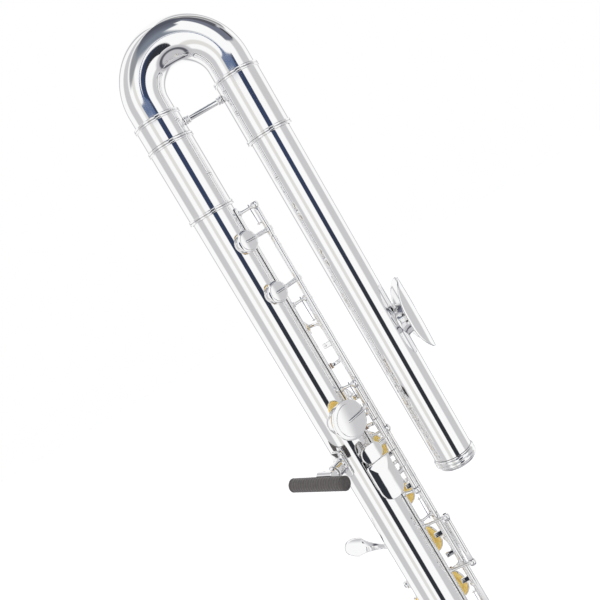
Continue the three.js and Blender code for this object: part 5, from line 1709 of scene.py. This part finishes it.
@dataclass
class Fittings:
    """Needle springs with their catches, feet with cork bumpers, cross pins, clutch bridges and lugs."""

    shop: Workshop
    drop: float = 4.3
    spring_radius: float = 0.36
    spring_over: Pair = (2.6, 1.2)
    catch_gap: float = 0.95
    catch_wire: Pair = (0.42, 0.5)
    foot_turn: float = 11.0
    foot_bar: Pair = (1.5, 0.75)
    foot_plates: tuple = ((oval(1.9, 2.3, 32, 2.8), 0.7, 19.5, 0.2),
                          (oval(1.8, 2.2, 32, 3.0), 1.15, 18.35, 0.25))
    lug_place: Triple = (-4.7, -0.9, 0.0)
    bridge_reach: float = 31.9
    pin_half: float = 2.42
    pin_radius: float = 0.5
    body_keys: tuple[Fitted, ...] = (
        Fitted("c_sharp", MAIN, -1, 745.0, 727.0, 690.0, (735.0, 652.0), (658.0, 705.0)),
        Fitted("b_flat", MAIN, -1, 643.0, 622.0, 598.0, (634.0,), (604.6, 617.2)),
        Fitted("a", MAIN, -1, 544.5, 561.0, 581.0, (552.0,), (574.4,), (585.0, 593.5)),
        Fitted("g", MAIN, -1, 453.0, 470.0, 498.0, (536.0, 460.5), (482.2, 508.0, 527.2)),
        Fitted("f_sharp", MAIN, -1, 453.0, 436.0, 416.0, (445.0,), (423.6,)),
        Fitted("f", MAIN, -1, 406.0, 388.0, 366.0, (398.0,), (375.8,), (399.3, 402.9)),
        Fitted("e", MAIN, -1, None, None, 346.0, (312.0,), (325.6, 338.2)),
        Fitted("d", MAIN, -1, 267.0, 284.0, 300.0, (274.0,), (290.6,)),
    )
    foot_keys: tuple[Fitted, ...] = (
        Fitted("d_sharp", MAIN, 1, 228.0, 219.5, None, (197.0,)),
        Fitted("low_c_sharp", MAIN, -1, 190.0, 174.0, 163.0, (124.0,), (157.0, 144.8)),
        Fitted("low_c", MAIN, -1, 62.0, 79.0, 97.0, (70.0,), (84.8, 103.6)),
    )
    other_keys: tuple[Fitted, ...] = (
        Fitted("trill_upper", TRILL, -1, 824.3, 811.0, None, (801.0,)),
        Fitted("trill_lower", TRILL, -1, pins=(790.0, 744.0, 560.0, 400.0)),
        Fitted("thumb", THUMB, 1, 672.0, 661.5, 645.0, (665.0,)),
        Fitted("b_flat_thumb", THUMB, 1, foot=636.0, pins=(617.0,)),
    )

    def level(self, line: Line) -> Pair:
        """Works out where the springs lie, on the stems below the balls.

        Args:
            line: Hinge line.

        Returns:
            Their reach and direction.
        """
        reach = line.reach - self.drop
        share = (reach - RIB_TOP) / (line.reach - RIB_TOP)
        return reach, line.foot + share * (line.angle - line.foot)

    def springs(self) -> None:
        """Tapered needles from the stems to their catches, one piece for each tube."""
        for body, keys in (("body", self.body_keys + self.other_keys), ("foot", self.foot_keys)):
            skin = Skin()
            for key in (key for key in keys if key.post is not None):
                reach, angle = self.level(key.line)
                way = math.copysign(1.0, key.catch - key.post)
                places = ((key.post - self.spring_over[0] * way, 0.0), (key.post, 0.0),
                          ((key.post + key.catch) / 2, 0.05), (key.catch + self.spring_over[1] * way, 0.3))
                path = smooth_path([polar(reach + lift, angle, height) for height, lift in places])
                taper = np.linspace(1.0, 0.5, len(path))[:, None]
                section = oval(self.spring_radius, self.spring_radius, 12)
                skin.add(swept(path, section, polar(1.0, angle), taper))
            self.shop.fit(f"{body}_needle_springs", skin, Look.BLUED, body)

    def catch(self, key: Fitted) -> Skin:
        """Bent catch under the hinge tube, beside the end of the spring.

        Args:
            key: Key that carries it.

        Returns:
            A skin with one closed surface.
        """
        reach, angle = self.level(key.line)
        aside = key.side * math.degrees(self.catch_gap / reach)
        places = ((key.line.reach - 1.7, key.line.angle), (reach + 1.2, angle + 1.3 * aside),
                  (reach - 0.3, angle + 1.2 * aside), (reach - 0.9, angle + 0.6 * aside))
        return swept(smooth_path(around(places, key.catch), 6), oval(*self.catch_wire, 12), Z)

    def foot(self, key: Fitted) -> tuple[Skin, Skin]:
        """Foot from the hinge tube down to the rib, and the cork under it.

        Args:
            key: Key that carries it.

        Returns:
            The foot and the cork.
        """
        turn, angle = key.side * self.foot_turn, key.line.angle
        places = ((key.line.reach - 1.2, angle + 0.15 * turn), (26.0, angle + 0.62 * turn),
                  (22.6, angle + 0.95 * turn), (19.9, angle + turn))
        arm = bent_bar(around(places, key.foot), *self.foot_bar, polar(1.0, angle + 90.0))
        end = angle + turn
        plates = []
        for outline, thickness, reach, edge in self.foot_plates:
            plates.append(plate(outline, thickness, facing(reach, end, key.foot), edge))
        return arm.add(plates[0]), plates[1]

    def lug(self, height: float) -> Skin:
        """Flat clutch lug between the main hinge tube and the body, with its adjusting screw.

        Args:
            height: Height of its middle.

        Returns:
            A skin of bar and screw.
        """
        face = MAIN.at(height) + self.lug_place
        bar = plate(box_outline(3.5, -2.1, 2.1, 0.9), 1.3, on_plane(face, X, Z), 0.3)
        return bar.add(screw_head(face + [-1.6, -1.2, 0.0], -Y, 1.15, 0.75, 0.35))

    def bridge(self, low: float, high: float) -> Skin:
        """Flat clutch bridge outside the main line, with its adjusting screw.

        Args:
            low: Height of its lower end.
            high: Height of its upper end.

        Returns:
            A skin of bar and screw.
        """
        reach, angle = self.bridge_reach, MAIN.angle
        bar = plate(box_outline(1.5, low, high, 1.2), 1.1, facing(reach, angle), 0.3)
        return bar.add(screw_head(polar(reach + 1.0, angle, high - 1.9), polar(1.0, angle), 1.0, 0.7, 0.3))

    def build(self) -> None:
        """Builds the fittings of every key."""
        self.springs()
        for key in self.body_keys + self.foot_keys + self.other_keys:
            skin, pins = Skin(), Skin()
            if key.catch is not None:
                skin.add(self.catch(key))
            if key.foot is not None:
                foot, cork = self.foot(key)
                skin.add(foot)
                self.shop.fit(f"{key.body}_foot_cork", cork, Look.CORK, key.body)
            skin.add(*(self.lug(height) for height in key.lugs))
            if key.bridge is not None:
                skin.add(self.bridge(*key.bridge))
            if skin.points:
                self.shop.fit(f"{key.body}_fittings", skin, Look.SILVER, key.body)
            half = unit(key.line.at(0.0)) * self.pin_half
            for height in key.pins:
                middle = key.line.at(height)
                pins.add(rod(middle - half, middle + half, self.pin_radius, 20, 0.12))
            self.shop.fit(f"{key.body}_pins", pins, Look.STEEL, key.body)


@dataclass
class HandRest:
    """Saddle and boss on the body, and the swivelling arm with its grip."""

    shop: Workshop
    angle: float = -136.0
    height: float = 623.0
    tilt: float = 4.3
    reach: float = 41.3
    grip_radius: float = 5.4
    grip_ends: Pair = (-22.8, 34.2)
    rib_pitch: float = 2.68
    rib_depth: float = 0.1
    saddle_half: float = 21.0
    boss: tuple[Pair, ...] = ((0, 17.7), (6.6, 17.7), (6.6, 19.4), (5.6, 20.2), (5.6, 26.4), (5.2, 27.0),
                              (0, 27.0))
    neck: tuple[Pair, ...] = ((0, 27.3), (4.8, 27.3), (4.8, 28.4), (4.3, 29.2), (4.3, 31.5), (5.2, 32.6),
                              (0, 32.6))
    seat_radius: float = 5.75
    seat_half: float = 62.0
    clamp_middle: Pair = (36.0, 0.0)
    clamp_ends: tuple[Pair, ...] = ((-7.5, 0.93), (-7.1, 1.0), (7.1, 1.0), (7.5, 0.93))
    screw_place: Pair = (33.5, 4.4)
    screw_apart: float = 3.6

    def place(self, rows: Array) -> Array:
        """Carries points with the boss along +Y and the grip along X into space, tilted about the boss.

        Args:
            rows: Points with the boss along +Y and the grip along X.

        Returns:
            The points in space.
        """
        c, s = math.cos(math.radians(-self.tilt)), math.sin(math.radians(-self.tilt))
        x, y, z = rows[..., 0], rows[..., 1], rows[..., 2]
        tilted = stacked(x * c + z * s, y, -x * s + z * c + self.height)
        return turn_about_z(tilted, self.angle - 90.0)

    def base(self) -> None:
        """Saddle with a turned boss."""
        saddle = strap(self.saddle_half, self.angle, self.height, -11.0, 11.0, 3.0, 1.8, 0.5)
        boss = lathe(self.boss, 0.4, Axis((0, 0, self.height), polar(1.0, self.angle), Z), 64)
        self.shop.fit("rest_saddle", saddle.add(boss), Look.SATIN, "body", "hand_rest_base")

    def arm(self) -> None:
        """Neck and rounded clamp block, hollowed for the grip, with two clamp screws."""
        neck = lathe(self.neck, 0.35, Axis((0.0, 0.0, 0.0), Y), 64)
        turn = np.radians(np.linspace(-self.seat_half, self.seat_half, 25))
        seat = stacked(self.reach - self.seat_radius * np.cos(turn), self.seat_radius * np.sin(turn))
        side = [(self.reach - 3.0, 5.5), (self.reach - 5.2, 6.6), (self.reach - 6.6, 6.6), (31.2, 4.6)]
        section = np.concatenate([seat, side, [(31.0, 0.0)], np.array(side[::-1]) * [1, -1]])
        middle = np.array(self.clamp_middle)
        rows = [stacked(x, *((section - middle) * size + middle).T) for x, size in self.clamp_ends]
        skin = neck.add(Skin().grid(np.stack(rows))).moved(self.place)
        self.shop.fit("rest_clamp", skin, Look.SATIN, "hand_rest", "hand_rest_arm", crease=28.0)
        heads = (screw_head(np.array([x, *self.screw_place]), (0.0, -0.25, 1.0), 1.7, 1.2)
                 for x in (-self.screw_apart, self.screw_apart))
        self.shop.fit("rest_screws", Skin().add(*heads).moved(self.place), Look.STEEL, "hand_rest")

    def grip(self) -> None:
        """Round grip with a ring near each end and fine ribs: r = R - 0.1 (1 + cos(2 pi s / pitch))."""
        (low, high), radius, depth = self.grip_ends, self.grip_radius, self.rib_depth
        ring = np.array([(0.0, 1.7), (-0.45, 2.0), (-0.45, 2.5), (0.0, 2.8)])
        lower = [(0, low + 0.5), (radius - 2.0, low + 0.5), (radius - 1.8, low), (radius - 0.9, low),
                 (radius, low + 0.9)]
        upper = [(r, low + high - z) for r, z in reversed(lower)]
        near_end, far_end = ring + [radius, low], (ring * [1, -1])[::-1] + [radius, high]
        run = np.linspace(low + 4.4, high - 4.4, 181)
        wave = np.cos(TURN * (run - run[0]) / self.rib_pitch)
        ribbed = stacked(radius - depth - depth * wave, run)
        start = rounded([*lower, *near_end, ribbed[0]], 0.3, 4)
        end = rounded([ribbed[-1], *far_end, *upper], 0.3, 4)
        skin = turned(np.concatenate([start, ribbed[1:-1], end]), Axis((0.0, self.reach, 0.0), X, Z), 96)
        self.shop.fit("rest_grip", skin.moved(self.place), Look.GRIP, "hand_rest", "hand_rest_grip")

    def build(self) -> None:
        """Builds the hand rest."""
        self.base()
        self.arm()
        self.grip()


# Studio


@dataclass
class Studio:
    """Camera at the photograph's angle, pale floor, soft lamp and the light tent round the flute."""

    lens: float = 41.4
    place: Triple = (23.7, -517.5, 805.9)
    pitch: float = 6.6
    roll: float = 30.5
    floor_half: float = 6.0
    floor_glow: float = 0.47
    lamp_place: Triple = (-0.9, -1.1, 1.7)
    lamp_aim: Triple = (0.03, 0.0, 0.6)
    lamp_colour: Triple = (1.0, 0.985, 0.96)
    lamp_power: float = 9.0
    lamp_size: float = 1.2

    def camera(self) -> None:
        """Camera whose axes are worked out from its pitch and roll."""
        pitch, roll = math.radians(self.pitch), math.radians(self.roll)
        look = np.array([0.0, math.cos(pitch), -math.sin(pitch)])
        down = np.array([0.0, -math.sin(pitch), -math.cos(pitch)])
        right = math.cos(roll) * X + math.sin(roll) * down
        up = math.sin(roll) * X - math.cos(roll) * down
        data = bpy.data.cameras.new("view")
        data.lens, data.sensor_width, data.clip_start = self.lens, 36.0, 0.01
        camera = new_object("view", data)
        frame = np.eye(4)
        frame[:3] = stacked(right, up, -look, np.array(self.place) * MM)
        camera.matrix_world = Matrix(frame.tolist())
        bpy.context.scene.camera = camera

    def tent(self) -> None:
        """Light tent: white to the eye, and in the silver a dark strip in front with soft grey wings.

        The strip and wings depend on the azimuth atan2(x, -y), and the strip leans with the height. Above
        them are a slate window between two leaning edges and dark arcs up to the roof, and below is a grey
        ground.
        """
        world = bpy.data.worlds.new("tent")
        world.use_nodes = True
        world.node_tree.nodes.clear()
        n = Nodes(world.node_tree)
        axes = n.make("ShaderNodeSeparateXYZ", {"Vector": n.make("ShaderNodeTexCoord").outputs["Generated"]})
        x, y, z = (axes.outputs[i] for i in range(3))
        turn = n.math("DEGREES", n.math("ARCTAN2", x, n.times(y, -1.0)))
        white = (1.0, 1.0, 1.0)

        def near(middle: Link | float, half: float, soft: float) -> Link:
            """1 where the azimuth lies within a half width of the middle, falling softly to 0."""
            away = n.math("ABSOLUTE", n.math("SUBTRACT", turn, middle))
            return n.band(away, half - soft / 2, half + soft / 2, 1.0, 0.0)

        def level(low: float, high: float, soft: float = 0.05) -> Link:
            """1 where the height lies between two bounds."""
            rise = n.band(z, low - soft / 2, low + soft / 2)
            return n.times(rise, n.band(z, high - soft / 2, high + soft / 2, 1.0, 0.0))

        # Wings at the sides, warm panel beside the strip, wings behind, ground and its dark edge
        strip = n.times(near(n.math("MULTIPLY_ADD", z, 16.0, 16.2), 11.6, 2.4), level(-0.6, 0.232, 0.01))
        layers = [
            ((0.6, 0.6, 0.61), n.math("MAXIMUM", near(-78.0, 19.5, 9.0), near(84.0, 23.0, 10.0))),
            ((0.76, 0.75, 0.72), near(-28.0, 8.0, 6.0)),
            ((0.5, 0.5, 0.52), n.math("MAXIMUM", near(-152.0, 8.0, 14.0), near(152.0, 8.0, 14.0))),
            ((0.55, 0.55, 0.57), n.band(z, -0.56, -0.7)),
            ((0.1, 0.1, 0.12), level(-0.86, -0.76, 0.06)),
            (n.mix((0.03, 0.034, 0.042), (0.036, 0.054, 0.112), n.band(z, -0.22, 0.12)), strip),
            ((0.12, 0.17, 0.3), n.times(near(-2.0, 22.0, 6.0), level(0.205, 0.235, 0.008))),
            ((0.3, 0.31, 0.33), n.times(near(-30.0, 18.0, 14.0), level(0.48, 0.92, 0.08))),
        ]
        left = n.band(n.math("SUBTRACT", turn, n.math("MULTIPLY_ADD", z, -62.5, 18.75)), -5.0, 5.0)
        edge = n.math("ADD", n.band(z, 0.58, 0.84, 5.0, 25.0), n.band(z, 0.84, 1.0, 0.0, 100.0))
        right = n.band(n.math("SUBTRACT", edge, turn), -3.0, 3.0)
        window = n.times(n.times(left, right), n.band(z, 0.235, 0.27))
        layers.append((n.mix((0.2, 0.23, 0.28), (0.12, 0.13, 0.165), n.band(z, 0.6, 0.9)), window))
        # Dark arcs that the bend mirrors
        layers += [(tone, n.times(across, up)) for tone, across, up in (
            ((0.3, 0.3, 0.3), near(120.0, 12.0, 14.0), level(0.55, 1.1)),
            ((0.17, 0.18, 0.23), near(68.0, 20.0, 7.0), level(0.4, 0.95, 0.04)),
            ((0.055, 0.056, 0.066), near(91.0, 6.0, 5.0), level(0.42, 0.62, 0.04)),
            ((0.1, 0.1, 0.12), near(88.0, 15.0, 6.0), level(0.66, 0.95, 0.04)),
            ((0.09, 0.095, 0.12), near(20.0, 62.0, 24.0), n.band(z, 0.9, 0.96)),
        )]
        layers.append((white, n.make("ShaderNodeLightPath").outputs["Is Camera Ray"]))
        colour = white
        for tone, mask in layers:
            colour = n.mix(colour, tone, mask)
        light = n.make("ShaderNodeBackground", {"Color": colour, "Strength": 1.0})
        n.make("ShaderNodeOutputWorld", {"Surface": light.outputs[0]})
        bpy.context.scene.world = world

    def floor(self) -> None:
        """Pale floor that shows white where it is lit and keeps the flute's shadow."""
        half = self.floor_half
        mesh = bpy.data.meshes.new("floor")
        mesh.from_pydata([(-half, -half, 0), (half, -half, 0), (half, half, 0), (-half, half, 0)], [],
                         [(0, 1, 2, 3)])
        floor = new_object("floor", mesh)
        material, n, shader = blank("pale_floor")
        seen = n.make("ShaderNodeLightPath").outputs["Is Camera Ray"]
        n.fill(shader, {
            "Base Color": (0.93, 0.93, 0.93, 1.0), "Roughness": 0.9, "Emission Color": (1.0, 1.0, 1.0, 1.0),
            "Emission Strength": n.times(seen, self.floor_glow),
        })
        mesh.materials.append(material)
        floor.visible_glossy = False

    def lamp(self) -> None:
        """One large soft lamp above and to the left."""
        data = bpy.data.lights.new("soft_lamp", "AREA")
        data.energy, data.size, data.color = self.lamp_power, self.lamp_size, self.lamp_colour
        lamp = new_object("soft_lamp", data)
        lamp.location = self.lamp_place
        lamp.rotation_euler = (Vector(self.lamp_aim) - lamp.location).to_track_quat("-Z", "Y").to_euler()
        lamp.visible_glossy = False

    def build(self) -> None:
        """Builds the studio."""
        self.camera()
        self.tent()
        self.floor()
        self.lamp()
        bpy.context.scene.view_settings.view_transform = "Standard"


def dress_inner_nodes(frame: dict, shop: Workshop) -> None:
    """Gives the hidden stopper nodes their finishes.

    Args:
        frame: The loaded frame.
        shop: Workshop with the finishes.
    """
    for node, look in (("stopper_screw", Look.STEEL), ("stopper_cork", Look.CORK)):
        shop.coat(frame["nodes"][node].data, look)
        LOG.info("%s: dressed in place", node)


def main() -> None:
    """Builds the flute and its studio in order."""
    logging.basicConfig(level=logging.INFO, format="%(message)s")
    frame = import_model()
    shop = Workshop()
    shop.prepare()
    Studio().build()
    for assembly in (Tubing, HeadJoint, Keywork, Fittings, HandRest):
        assembly(shop).build()
    dress_inner_nodes(frame, shop)


if __name__ == "__main__":
    main()
